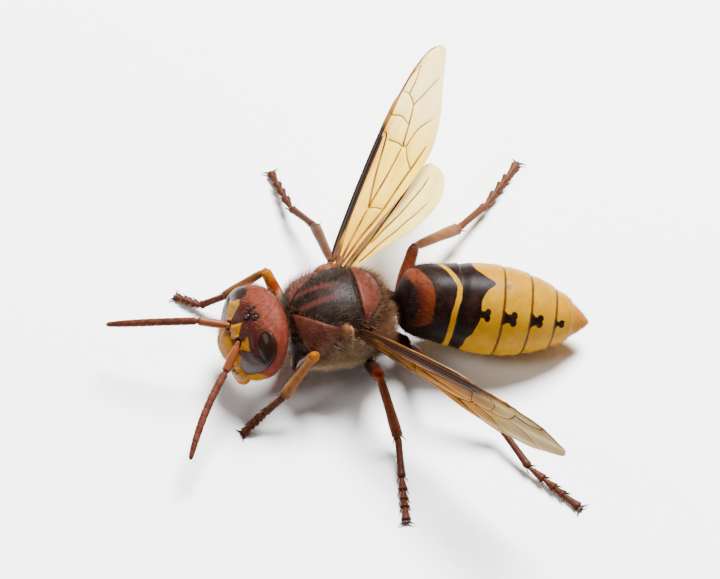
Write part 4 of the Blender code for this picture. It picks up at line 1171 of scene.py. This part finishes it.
# %% [markdown]
# ## Spines and hairs as arrays
# Thousands of hairs are one mesh. Each is a thin three-sided cone that bends once:
# a ring of three points at the root, one half way and a tip. All the roots, directions
# and lengths are arrays, so one sum places every point at once.

# %% Needles
THIRDS_OF_A_TURN = (0.0, 2.094, 4.189)


def needles(roots, ways, bends, lengths, widths, root_map):
    """Cones with a root ring, a middle ring and a tip: root, root + way/2 + bend/4, root + way + bend."""
    count = len(roots)
    ways = unit(ways)
    side = unit(np.cross(ways, unit(np.array([0.31, 0.17, 0.93]) + 0 * ways)))
    other = np.cross(ways, side)
    spokes = [side * math.cos(angle) + other * math.sin(angle) for angle in THIRDS_OF_A_TURN]
    lengths = np.asarray(lengths)[:, None]
    widths = np.asarray(widths)[:, None]
    start = roots - ways * widths
    middle = roots + ways * lengths * 0.5 + bends * lengths * 0.25
    tip = roots + ways * lengths + bends * lengths
    layers = [start + spoke * widths for spoke in spokes]
    layers += [middle + spoke * widths * 0.62 for spoke in spokes]
    points = np.stack([*layers, tip], axis=1).reshape(-1, 3)
    first = (np.arange(count) * (len(layers) + 1))[:, None, None]
    quads = (np.array([[0, 1, 4, 3], [1, 2, 5, 4], [2, 0, 3, 5]])[None] + first).reshape(-1, 4)
    triangles = (np.array([[3, 4, 6], [4, 5, 6], [5, 3, 6], [2, 1, 0]])[None] + first).reshape(-1, 3)
    offsets = 0.0015 * np.array([[-1, -1], [0, -1], [1, -1], [-1, 0], [0, 0], [1, 0], [0, 1]])
    corner = (root_map[:, None] + offsets[None]).reshape(-1, 2)
    return Patch(points, quads, triangles, corner[quads], corner[triangles])


FUZZ_CLEAR_OF_FLOOR = 0.02


def grow(name, rings, density, count, length, width, lie, stand, bend, finish, seed):
    """Roots drawn over a skin by area times density; each hair leans along the lie and stands off."""
    chance = np.random.default_rng(seed)
    rows, columns, _ = rings.shape
    normals = normals_of(rings)
    east = np.roll(rings, -1, axis=1)[:-1] - rings[:-1]
    north = rings[1:] - rings[:-1]
    weight = np.linalg.norm(np.cross(east, north), axis=-1) * density[:-1]
    chosen = chance.choice(weight.size, count, p=(weight / weight.sum()).ravel())
    row, column = np.divmod(chosen, columns)
    up, over = chance.random((2, count))
    root = rings[row, column] + east[row, column] * over[:, None] + north[row, column] * up[:, None]
    normal = normals[row, column]
    lay = unit(lie - normal * np.sum(lie * normal, axis=-1, keepdims=True))
    stand = np.broadcast_to(stand, count) * chance.uniform(0.75, 1.25, count)
    ways = unit(lay + normal * stand[:, None] + chance.normal(0, 0.16, (count, 3)))
    sizes = length(root) if callable(length) else np.full(count, length)
    sizes = sizes * chance.uniform(0.6, 1.15, count)
    root_map = np.stack([(column + over) / columns, (row + up) / (rows - 1)], axis=-1) * 0.99 + 0.005
    patch = needles(root, ways, lay * bend, sizes, np.full(count, width), root_map)
    patch.points[:, 2] = np.maximum(patch.points[:, 2], FUZZ_CLEAR_OF_FLOOR)
    return build(name, [patch], finish, [], "OFBake")


def fuzz_finish(name, colour_of, share, pale=FUZZ_GOLD, deep=(0.30, 0.140, 0.060), rear=None):
    """The skin's own markings, washed with two tones, and with a third towards the rear if given."""
    finish = Finish(name, Roughness=0.6, Specular_IOR_Level=0.05)
    colour, place = colour_of(finish)
    gold = finish.patchy(place, 4.0, pale, deep, edges=(0.3, 0.7))
    if rear:
        shift = (finish.noise(place, 3.0) - 0.5) * 3.0
        gold = finish.mix((finish.split(place)[1] + shift).rise(1.4, 2.6), gold, rear)
    finish.use(Base_Color=finish.mix(share, colour, gold))
    return finish


print("hairs ready")

# %% [markdown]
# ## Fuzz on the thorax
# The thorax is the hairiest part: a dense felt of gold and brown on its sides and rear,
# sparser and darker hairs that stand on its back, and a nap so short that the shields
# look bare. Roots are drawn by area times a density, so a plate is left bare by a
# density near 0. Each kind of hair is a layer with its own length, lean and colour.

# %% Thorax fuzz
backward = np.array([0.0, 1.0, 0.15])
thorax_up = thorax_rings[..., 2]
thorax_along = thorax_rings[..., 1]
thorax_side = np.abs(thorax_rings[..., 0] - THORAX_CENTRE)
bare_back = rise(thorax_up, 5.4, 6.1) * rise(thorax_along, -3.9, -3.6)
collar_rear = (thorax_up - 5.6) * 0.8 - thorax_along
bare_collar = rise(thorax_side, 1.6, 2.2) * rise(thorax_up, 3.9, 4.5) * rise(collar_rear, 0.4, 0.8)
bare_collar = bare_collar * rise(thorax_along, -3.9, -3.5)
bare_collar = bare_collar * (1 - 0.5 * rise(-thorax_rings[..., 0], 0.9, 1.8))
density = rise(thorax_along, -4.0, -3.5) * (1 - bare_back) * (1 - 0.995 * bare_collar)
density = density * (0.35 + 0.65 * rise(thorax_up, 1.8, 3.0))
density = density * (1 - 0.8 * rise(-thorax_along, 2.9, 3.4)) * (1 - 0.6 * rise(thorax_along, 2.6, 3.5))
thorax_fuzz = fuzz_finish("thorax_fuzz", thorax_colour, 0.9, (0.48, 0.34, 0.205), (0.30, 0.170, 0.085),
                          (0.120, 0.054, 0.024))
grow("thorax_fuzz", thorax_rings, density, 13500,
     lambda root: 0.40 + 0.30 * rise(-root[:, 2], -6.3, -5.4) + 0.25 * rise(root[:, 1], 2.0, 3.2),
     0.0075, backward, 1.6, 0.25, thorax_fuzz, 11)

down = fuzz_finish("thorax_down", thorax_colour, 0.9, (0.20, 0.120, 0.060), (0.080, 0.040, 0.020))
grow("thorax_down", thorax_rings, rise(thorax_up, 4.4, 5.4), 3000, 0.68, 0.0068,
     backward, 2.4, 0.25, down, 16)

pile = Finish("thorax_pile", Roughness=0.5, Specular_IOR_Level=0.05)
colour, place = thorax_colour(pile)
pile.use(Base_Color=pile.mix(0.22, colour, (0.16, 0.13, 0.10)))
density = bare_back + bare_collar * 0.8
grow("thorax_pile", thorax_rings, density, 5200, 0.15, 0.006, backward, 0.45, 0.1, pile, 14)

# %% [markdown]
# ## Hairs on the wing caps, the head and the abdomen
# These are short. The head has a light down that leans up and forward and stays off
# the eyes. The abdomen is nearly bare in its middle and hairier at its base and its tip,
# so both its density and its lengths are bells and slopes along its own line.

# %% Wing cap, head and abdomen hairs
cap_fuzz, place = two_toned("wing_cap_fuzz", 4.0, (0.080, 0.032, 0.014), (0.34, 0.190, 0.095),
                            Roughness=0.6, Specular_IOR_Level=0.05)
for label, cap in caps.items():
    grow("wing_cap_fuzz_" + label, cap, np.ones(cap.shape[:2]), 520, 0.24, 0.0065,
         backward, 1.1, 0.2, cap_fuzz, 15)

head_world = put(head_rings, HEAD_PLACE, HEAD_TURN)
x, y, z = np.moveaxis(head_rings, -1, 0)
edge = np.where(inside(EYE_OUTLINE, y, z) & (np.abs(x) > 0.9), 0.0, 1.0)
density = edge * (0.5 + 0.7 * rise(z, 1.2, 2.2) + 0.6 * rise(-z, 1.6, 2.3)) * rise(1.3 - y, 0, 0.2)
density = density * (1 - 0.8 * rise(-y, 0.8, 1.1) * rise(z, -0.6, -0.2))
head_fuzz = fuzz_finish("head_fuzz", head_colour, 0.3)
grow("head_fuzz", head_world, density, 5000, 0.28, 0.0070,
     np.array([0.0, -0.6, 0.6]), 1.6, 0.2, head_fuzz, 12)

abdomen_world = put(abdomen_rings, ABDOMEN_START, ABDOMEN_TURN)
tail_way = np.array(ABDOMEN_TURN)[:, 1]
t = abdomen_rings[..., 1]
density = rise(t, 0.0, 0.4) * (0.35 + 1.6 * hill(t, 1.0, 1.2) + 1.2 * rise(t, 11.0, 13.2))
abdomen_fuzz = fuzz_finish("abdomen_fuzz", abdomen_colour, 0.12)
grow("abdomen_fuzz", abdomen_world, density, 5200,
     lambda root: 0.18 + 0.22 * hill((root - ABDOMEN_START) @ tail_way, 0.8, 1.3)
     + 0.15 * rise((root - ABDOMEN_START) @ tail_way, 11.5, 13.3),
     0.006, tail_way, 0.8, 0.0, abdomen_fuzz, 13)

# %% [markdown]
# ## Claws, spurs and leg spines
# The feet carry the sharp things: a pair of curved claws with a soft pad between, and
# stout spines at the joints of the foot. Each shin ends in two spurs, a foreleg's in
# one. Claws and spurs are curved cones; the spines and short hairs are needles again.

# %% Feet and leg hairs
claw_horn, place = two_toned("claw", 4.0, (0.012, 0.0040, 0.0028), (0.050, 0.018, 0.010), Roughness=0.28)
claw_horn.bump(claw_horn.noise(place, 20.0), 0.01)
leg_hair, place = two_toned("leg_hair", 3.0, (0.045, 0.014, 0.006), (0.17, 0.076, 0.028),
                            Roughness=0.5, Specular_IOR_Level=0.04)
SPINE_LENGTH = 0.46
SPINE_RADIUS = 0.036
HAIRS_CLEAR_OF_FLOOR = 0.003


def horn(root, way, curl, length, radius):
    """A cone whose line bends towards a second direction by the square of its share."""
    share = np.linspace(0, 1, 14)[:, None]
    path = root + way * length * share + curl * length * share ** 2
    rings = tube(path, radius * (1.02 - share[:, 0] ** 1.3), columns=10, up=LEG_UP)
    rings[..., 2] = np.maximum(rings[..., 2], CLEAR_OF_FLOOR)
    return skin(rings)


def foot_patches(name):
    """Two claws, the pad between them and the shin's spurs."""
    points, ways = leg_points(name)
    ankle, foot = points[3], points[5]
    toe_way = ways[4]
    across = unit(np.cross(toe_way, [0, 0, 1]))
    patches = []
    for hand in (-1, 1):
        way = unit(toe_way * 0.90 + across * hand * 0.45 + np.array([0, 0, 0.30]))
        curl = across * hand * 0.55 - toe_way * 0.35 - np.array([0, 0, 0.35])
        patches.append(horn(foot + across * hand * 0.09, way, curl, 0.66, 0.11))
    patches.append(skin(ball * [0.17, 0.17, 0.11] + foot + toe_way * 0.14 + np.array([0, 0, 0.02])))
    across = unit(np.cross(ways[2], [0, 0, 1]))
    pair = name.split("_")[0]
    wide = SHIN_RADIUS[pair]
    for hand in ((-1, 1) if pair != "fore" else (1,)):
        root = ankle + across * hand * wide * 0.55 - ways[2] * 0.14
        patches.append(horn(root, unit(ways[2] + across * hand * 0.8), -across * hand * 0.2, 0.85, 0.07))
    return patches


def leg_hairs(name, seed):
    """Short hairs along the thigh, the shin and the foot, and stout spines at the foot's joints."""
    chance = np.random.default_rng(seed)
    pair = name.split("_")[0]
    points, ways = leg_points(name)
    hinge, knee, ankle, sole, foot = points[1:]
    parts = [
        (hinge, knee, THIGH_RADIUS[pair], 260, 0.20, 0.010, 0.9),
        (knee, ankle, SHIN_RADIUS[pair], 340, 0.26, 0.012, 0.7),
        (ankle, sole, TOE_RADIUS, 300, 0.24, 0.014, 0.5),
        (sole, foot, TOE_RADIUS, 320, 0.22, 0.013, 0.5),
    ]
    roots, directions, lengths, widths, maps = [], [], [], [], []
    for number, (start, end, radius, count, length, width, stand) in enumerate(parts):
        along = unit(end - start)
        side = unit(np.cross(along, LEG_UP))
        top = np.cross(side, along)
        share = chance.uniform(0.08, 0.97, count)
        angle = chance.uniform(0, 2 * np.pi, count)
        out = side * np.cos(angle)[:, None] + top * np.sin(angle)[:, None]
        roots.append(start + (end - start) * share[:, None] + out * radius * 0.72)
        directions.append(along + out * stand + chance.normal(0, 0.12, (count, 3)))
        lengths.append(length * chance.uniform(0.6, 1.2, count))
        widths.append(np.full(count, width))
        maps.append(np.stack([angle / (2 * np.pi), (number + 1 + share) / 6], axis=-1) * 0.99 + 0.005)
    across = unit(np.cross(ways[4], [0, 0, 1]))
    for low in TOE_ENDS[:4]:
        joint = sole + (foot - sole) * low
        for hand in (-1, 1):
            for lift in (-0.3, 0.1, 0.5):
                roots.append([joint + across * hand * TOE_RADIUS * 0.8 + [0, 0, lift * 0.15]])
                directions.append([ways[4] + across * hand * 0.55 + [0, 0, lift * 0.3]])
                lengths.append([SPINE_LENGTH])
                widths.append([SPINE_RADIUS])
                maps.append([[0.5 + 0.2 * hand, 0.9]])
    columns = (np.concatenate(values) for values in (roots, directions, lengths, widths, maps))
    roots, directions, lengths, widths, maps = columns
    patch = needles(roots, directions, np.zeros((1, 3)), lengths, widths, maps)
    patch.points[:, 2] = np.maximum(patch.points[:, 2], HAIRS_CLEAR_OF_FLOOR)
    return patch


for number, name in enumerate(LEGS):
    build("claws_" + name, foot_patches(name), claw_horn, [])
    build("hairs_" + name, [leg_hairs(name, 20 + number)], leg_hair, [], "OFBake")

# %% [markdown]
# ## The wings
# A wing is a clear membrane stretched over veins. The membrane is a ruled surface
# between a leading line and a trailing line, crimped so that every vein lies on a
# ridge. It is made closed and thin, and its clearness is in the finish's alpha.

# %% Wing outlines and veins
LEADING = {
    "right": [(0.20, -0.45), (1.20, -0.80), (3.60, -1.00), (6.90, -1.18), (12.9, -1.32), (16.9, -1.00),
              (18.7, -0.55), (19.6, 0.05)],
    "left": [(0.20, -0.45), (1.20, -0.80), (3.60, -1.00), (6.90, -1.18), (11.0, -1.42), (14.0, -1.62),
             (16.6, -1.18), (18.4, -0.72), (19.3, -0.32), (19.6, 0.05)],
}
FOLD = {
    "right": [(0.20, 0.35), (1.20, 0.55), (4.00, 1.25), (7.50, 2.25), (10.9, 2.80), (13.8, 2.40),
              (16.3, 1.60), (18.2, 1.05), (19.4, 0.62), (19.6, 0.05)],
    "left": [(0.20, 0.35), (1.20, 0.50), (5.50, 0.85), (8.70, 1.35), (12.3, 2.05), (13.8, 1.95),
             (16.3, 1.75), (18.2, 1.05), (19.4, 0.62), (19.6, 0.05)],
}
HIND_LEADING = {
    "right": [(0.40, 0.05), (3.00, 0.55), (6.00, 1.25), (8.80, 1.95), (10.4, 2.65), (10.6, 3.30)],
    "left": [(0.40, 0.10), (1.30, -0.10), (4.50, -0.45), (7.50, -0.65), (9.60, -0.65), (10.3, -0.20)],
}
HIND_FOLD = {
    "right": [(0.40, 0.95), (2.30, 1.95), (5.30, 3.90), (7.90, 4.65), (9.80, 4.25), (10.6, 3.30)],
    "left": [(0.40, 0.55), (1.30, 0.75), (4.50, 0.85), (7.50, 0.95), (9.60, 0.50), (10.3, -0.20)],
}
FOREWING_VEINS = [
    (0.150, [(0.30, -0.45), (1.20, -0.72), (3.60, -0.93), (6.90, -1.12), (11.4, -1.24), (14.6, -1.20)]),
    (0.105, [(0.30, -0.25), (3.60, -0.70), (6.90, -0.88), (11.2, -1.02)]),
    (0.085, [(0.30, -0.02), (2.60, 0.05), (5.30, 0.22)]),
    (0.070, [(5.30, 0.22), (8.00, -0.30), (11.1, -0.75), (11.5, -1.10)]),
    (0.070, [(5.30, 0.22), (8.00, 0.50), (10.8, 0.65)]),
    (0.055, [(10.8, 0.65), (12.6, 0.42), (14.2, 0.12), (15.0, -0.50), (15.1, -1.05)]),
    (0.055, [(11.0, -0.55), (10.85, 0.65)]),
    (0.050, [(12.9, -1.10), (13.1, -0.40), (12.6, 0.42)]),
    (0.085, [(0.30, 0.15), (2.80, 0.62), (5.60, 1.30), (9.20, 1.90), (11.5, 2.30)]),
    (0.055, [(5.60, 1.30), (5.45, 0.75), (5.30, 0.22)]),
    (0.055, [(9.20, 1.90), (10.0, 1.35), (10.9, 0.90), (10.8, 0.65)]),
    (0.050, [(10.9, 0.90), (12.4, 1.20), (13.7, 1.90)]),
    (0.050, [(14.9, -1.15), (16.4, -0.98), (17.6, -0.60)]),
    (0.045, [(15.0, -0.50), (16.2, -0.45), (17.6, -0.60)]),
    (0.045, [(14.2, 0.12), (15.6, 0.60), (17.0, 1.10)]),
    (0.065, [(14.4, -1.17), (16.9, -0.96), (18.6, -0.53), (19.4, -0.05)]),
]
HINDWING_VEINS = {
    "right": [(0.075, [(0.60, 0.55), (3.00, 1.12), (6.00, 1.75), (8.60, 2.15)]),
              (0.060, [(3.00, 1.30), (6.00, 2.35), (8.20, 3.00), (9.60, 3.20)]),
              (0.055, [(1.20, 1.05), (3.50, 2.10), (5.60, 3.10), (7.60, 3.95)])],
    "left": [(0.075, [(0.60, 0.25), (3.00, -0.15), (6.00, -0.40), (9.00, -0.45)]),
             (0.055, [(0.60, 0.35), (3.00, 0.25), (6.00, 0.15), (9.00, 0.05)])],
}
STIGMA = [(11.4, -1.13), (12.4, -1.16), (13.6, -1.16), (14.7, -1.08)]
# the plates of the wing's root: where each lies, then its half sizes
ROOT_PLATES = [((0.36, -0.05, 0.02), (0.64, 0.26, 0.12)), ((0.92, -0.46, 0.05), (0.36, 0.14, 0.12))]
MEMBRANE = 0.035
MEMBRANE_ROWS = 200
MEMBRANE_COLUMNS = 44
VEIN_ROWS = 70
STIGMA_ROWS = 40
print(len(FOREWING_VEINS), "veins in a forewing")

# %% [markdown]
# ## How a wing is worked out
# Distance to a vein's line is the one measure needed: a bell of it makes the ridge that
# the membrane forms over the vein. The vein is a flattened tube along the same line,
# lifted by the same height, so that both always meet.

# %% Membrane and veins
def fitted(veins, label):
    """Veins of the open wing, moved in or out with the edges where this wing's outline differs."""
    drawn = []
    for radius, points in veins:
        x, y = np.array(points).T
        for edges, part in ((FOLD, y > 0), (LEADING, y < 0)):
            wide, own = (np.array(edges[name]) for name in ("right", label))
            y = np.where(part, y * np.interp(x, *own.T) / np.interp(x, *wide.T), y)
        drawn.append((radius, np.column_stack([x, y])))
    return drawn


def crimp(x, y, veins):
    """Ridges over the veins, and shallow waves between them that fade towards the root."""
    height = 0.05 * np.sin(y * 5.0 + x * 0.35) * rise(x, 0.5, 3.0)
    for _, points in veins:
        height = height + 0.06 * hill(distance_to(points, x, y), 0, 0.20)
    return height


def membrane(leading, trailing, veins, lift, droop):
    """A ruled surface between two curves, doubled into thin rings from front to back."""
    front = curve(leading, MEMBRANE_ROWS)
    rear = curve(trailing, MEMBRANE_ROWS)
    there = np.linspace(0, 1, MEMBRANE_COLUMNS)
    share = np.concatenate([there, there[::-1]])
    flat = front[:, None] + (rear - front)[:, None] * share[None, :, None]
    x, y = flat[..., 0], flat[..., 1]
    face = np.repeat([1.0, -1.0], MEMBRANE_COLUMNS)
    height = lift + crimp(x, y, veins) + droop(x, y) + face * MEMBRANE / 2
    return np.stack([x, y, height], axis=-1)[:-1]


def on_membrane(points, count, veins, lift, droop):
    """A line drawn on the flat wing, lifted onto the crimped membrane."""
    flat = curve(points, count)
    x, y = flat.T
    return np.column_stack([flat, lift + crimp(x, y, veins) + droop(x, y)])


def vein_rings(veins, lift, droop):
    """Flattened tubes along the veins: thinner outwards, and rounded off by a power at both ends."""
    share = np.linspace(0, 1, VEIN_ROWS)
    taper = (1 - 0.35 * share) * (0.15 + 0.85 * np.sqrt(1 - (2 * share - 1) ** 16))
    found = []
    for radius, points in veins:
        path = on_membrane(points, VEIN_ROWS, veins, lift, droop)
        found.append(tube(path, radius * taper * 1.45, radius * taper, 10))
    return found


print("wing forms ready")

# %% [markdown]
# ## The finish of a wing
# A hornet's wing is amber, with another tone at the root, along the leading edge and at
# the tip, and streaks that follow the span. Noise stretched along the span gives the
# streaks. The same amounts make the root and the edge less clear and the tip clearer.

# %% Wing and vein finish
def wing_finish(name, label, cell, streaks, border, base, far, alpha, inner, reach):
    """Clear cells with streaks along the span, and a tone for the border, the root and the tip."""
    finish = Finish(name, Roughness=0.35, Specular_IOR_Level=0.06)
    place = finish.place(WING_ROOTS[label], wing_turn(label))
    x, y = finish.split(place)[:2]
    stretched = finish.node("ShaderNodeVectorMath", {"operation": "MULTIPLY"},
                            {0: place, 1: (0.22, 1.5, 1.0)})
    streak = finish.noise(stretched, 1.1)
    edge = (y + (streak - 0.5) * 1.2).rise(inner, -0.95) * x.rise(14.0, 11.0)
    root = (x + (streak - 0.5) * 4.0).rise(reach, reach * 0.2)
    tip = x.rise(9.5, 15.5)
    colour = finish.mix(streak.rise(0.45, 0.75) * 0.7, cell, streaks)
    colour = finish.mix(tip * 0.8, colour, far)
    colour = finish.mix(edge, colour, border)
    finish.use(Base_Color=finish.mix(root, colour, base))
    finish.use(Alpha=(streak * 0.1 + alpha + edge.most(root) * 0.12 - tip * 0.16).least(0.97))
    finish.bump(finish.noise(place, 5.0), 0.03)
    return finish


# Tones in order: two ambers of the veins, the leading edge, the plates at the root.
VEIN_TONES = {
    "right": ((0.090, 0.034, 0.004), (0.25, 0.105, 0.007), (0.010, 0.0050, 0.0030), (0.070, 0.026, 0.010)),
    "left": ((0.045, 0.014, 0.003), (0.16, 0.056, 0.005), (0.022, 0.0068, 0.0026), (0.030, 0.0088, 0.0036)),
}


def vein_finish(name, label, dark_line):
    """Amber veins, browner at the root, with a dark leading edge as far along as asked."""
    deep, pale, leading, plates = VEIN_TONES[label]
    finish = Finish(name, Roughness=0.45, Specular_IOR_Level=0.05)
    place = finish.place(WING_ROOTS[label], wing_turn(label))
    x, y = finish.split(place)[:2]
    amber = finish.patchy(place, 0.6, deep, pale, edges=(0.35, 0.65))
    amber = finish.mix(x.rise(2.2, 1.3), amber, plates)
    dark = (y - x * 0.02).rise(-0.62, -0.80) * x.rise(dark_line, dark_line - 1.5)
    finish.use(Base_Color=finish.mix(dark, amber, leading))
    finish.bump(finish.noise(place, 12.0), 0.01)
    return finish


print("wing finishes ready")

# %% [markdown]
# ## Putting the wings together
# Each wing is two pieces: the clear membrane, which replaces the solid wing, and
# everything hard that rides on it. That is the veins, the plates of the root and, on a
# forewing, the stigma, a thickened cell on the leading edge. The right hindwing lies
# under its forewing and the left one, on edge, behind it. Each bends slightly.

# %% Wings
HINDWING_LIFT = 0.70
DARK_EDGE_ENDS = 12.9


def make_wing(pair, label, edges, veins, lift, droop, tones, dark_line, stigma=()):
    """One wing: its membrane, and the veins, root plates and stigma that ride on it."""
    root, turn = WING_ROOTS[label], wing_turn(label)
    name = f"{pair}wing_skin_{label}"
    rings = membrane(*edges, veins, lift, droop)
    clear = wing_finish(f"wing_{pair}_{label}", label, *tones)
    build(name, [skin(put(rings, root, turn))], clear, [f"{pair}wing_{label}"])
    forms = vein_rings(veins, lift, droop)
    forms += [ball * half_sizes + middle + [0, 0, lift] for middle, half_sizes in ROOT_PLATES]
    if len(stigma):
        wide = 0.05 + 0.11 * np.sin(np.pi * np.linspace(0, 1, STIGMA_ROWS))
        forms.append(tube(on_membrane(stigma, STIGMA_ROWS, veins, lift, droop), wide, 0.07, 16))
    vein_horn = vein_finish(f"veins_{pair}_{label}", label, dark_line)
    build(name + "_veins", [skin(put(form, root, turn)) for form in forms], vein_horn, [])


def sag_fore(x, y):
    return -0.10 * rise(x, 2.0, 19.0) + 0 * y


def sag_hind(x, y):
    return 0.10 * rise(x, 2.0, 10.0) + 0 * y


# Tones in order: cells, streaks, leading border, root, tip. Then how solid the membrane
# looks, where the border's tone begins and how far the root's tone reaches.
WING_TONES = {
    "right": (((0.78, 0.52, 0.016), (0.62, 0.31, 0.004), (0.46, 0.17, 0.004), (0.58, 0.27, 0.003),
               (0.78, 0.60, 0.20), 0.82, -0.35, 8.0),
              ((0.80, 0.62, 0.10), (0.72, 0.46, 0.02), (0.80, 0.58, 0.08), (0.66, 0.38, 0.01),
               (0.80, 0.74, 0.42), 0.64, -0.35, 6.0)),
    "left": (((0.36, 0.130, 0.004), (0.12, 0.036, 0.002), (0.028, 0.0085, 0.0025), (0.045, 0.0120, 0.0020),
              (0.30, 0.215, 0.055), 0.97, 0.35, 9.0),
             # the left hindwing's pale leading border is a painted reflection along the edge it shows
             ((0.24, 0.120, 0.02), (0.11, 0.040, 0.006), (0.58, 0.42, 0.26), (0.045, 0.0140, 0.0040),
              (0.34, 0.245, 0.07), 0.90, -0.25, 5.0)),
}

for label in SIDES:
    fore_tones, hind_tones = WING_TONES[label]
    stigma = fitted([(0, STIGMA)], label)[0][1]
    make_wing("fore", label, (LEADING[label], FOLD[label]), fitted(FOREWING_VEINS, label), 0.0, sag_fore,
              fore_tones, DARK_EDGE_ENDS, stigma)
    make_wing("hind", label, (HIND_LEADING[label], HIND_FOLD[label]), HINDWING_VEINS[label],
              HINDWING_LIFT, sag_hind, hind_tones, 0.0)

# %% [markdown]
# ## Floor and light
# A plain pale floor carries the shadow. One large round lamp stands high behind the
# insect's right shoulder, and a weak one in front of it lifts the shaded side. A
# lamp's size, against the insect's, is what makes the shadow's edge soft.

# %% Floor and light
FLOOR_HALF = 3.0
floor_mesh = bpy.data.meshes.new("floor")
corners = [(FLOOR_HALF * x, FLOOR_HALF * y, 0) for x, y in ((-1, -1), (1, -1), (1, 1), (-1, 1))]
floor_mesh.from_pydata(corners, [], [(0, 1, 2, 3)])
floor = bpy.data.objects.new("floor", floor_mesh)
bpy.context.scene.collection.objects.link(floor)
paper = Finish("floor_paper", Roughness=0.9)
paper.shader.inputs["Base Color"].default_value = (0.96, 0.96, 0.96, 1)
floor_mesh.materials.append(paper.material)


def lamp(name, place, size, power):
    """A round soft lamp that looks at the insect."""
    light = bpy.data.lights.new(name, "AREA")
    light.shape = "DISK"
    light.size = size
    light.energy = power
    holder = bpy.data.objects.new(name, light)
    turn = Vector(place).to_track_quat("Z", "Y").to_matrix().to_4x4()
    holder.matrix_world = Matrix.Translation(place) @ turn
    bpy.context.scene.collection.objects.link(holder)


lamp("key", place=(-0.17, 0.12, 0.33), size=0.19, power=10.6)
lamp("front_fill", place=(0.05, -0.26, 0.34), size=0.15, power=0.5)
world = bpy.data.worlds.new("studio")
world.use_nodes = True
world.node_tree.nodes["Background"].inputs["Color"].default_value = (1, 1, 1, 1)
world.node_tree.nodes["Background"].inputs["Strength"].default_value = 0.15
bpy.context.scene.world = world
print("lit")
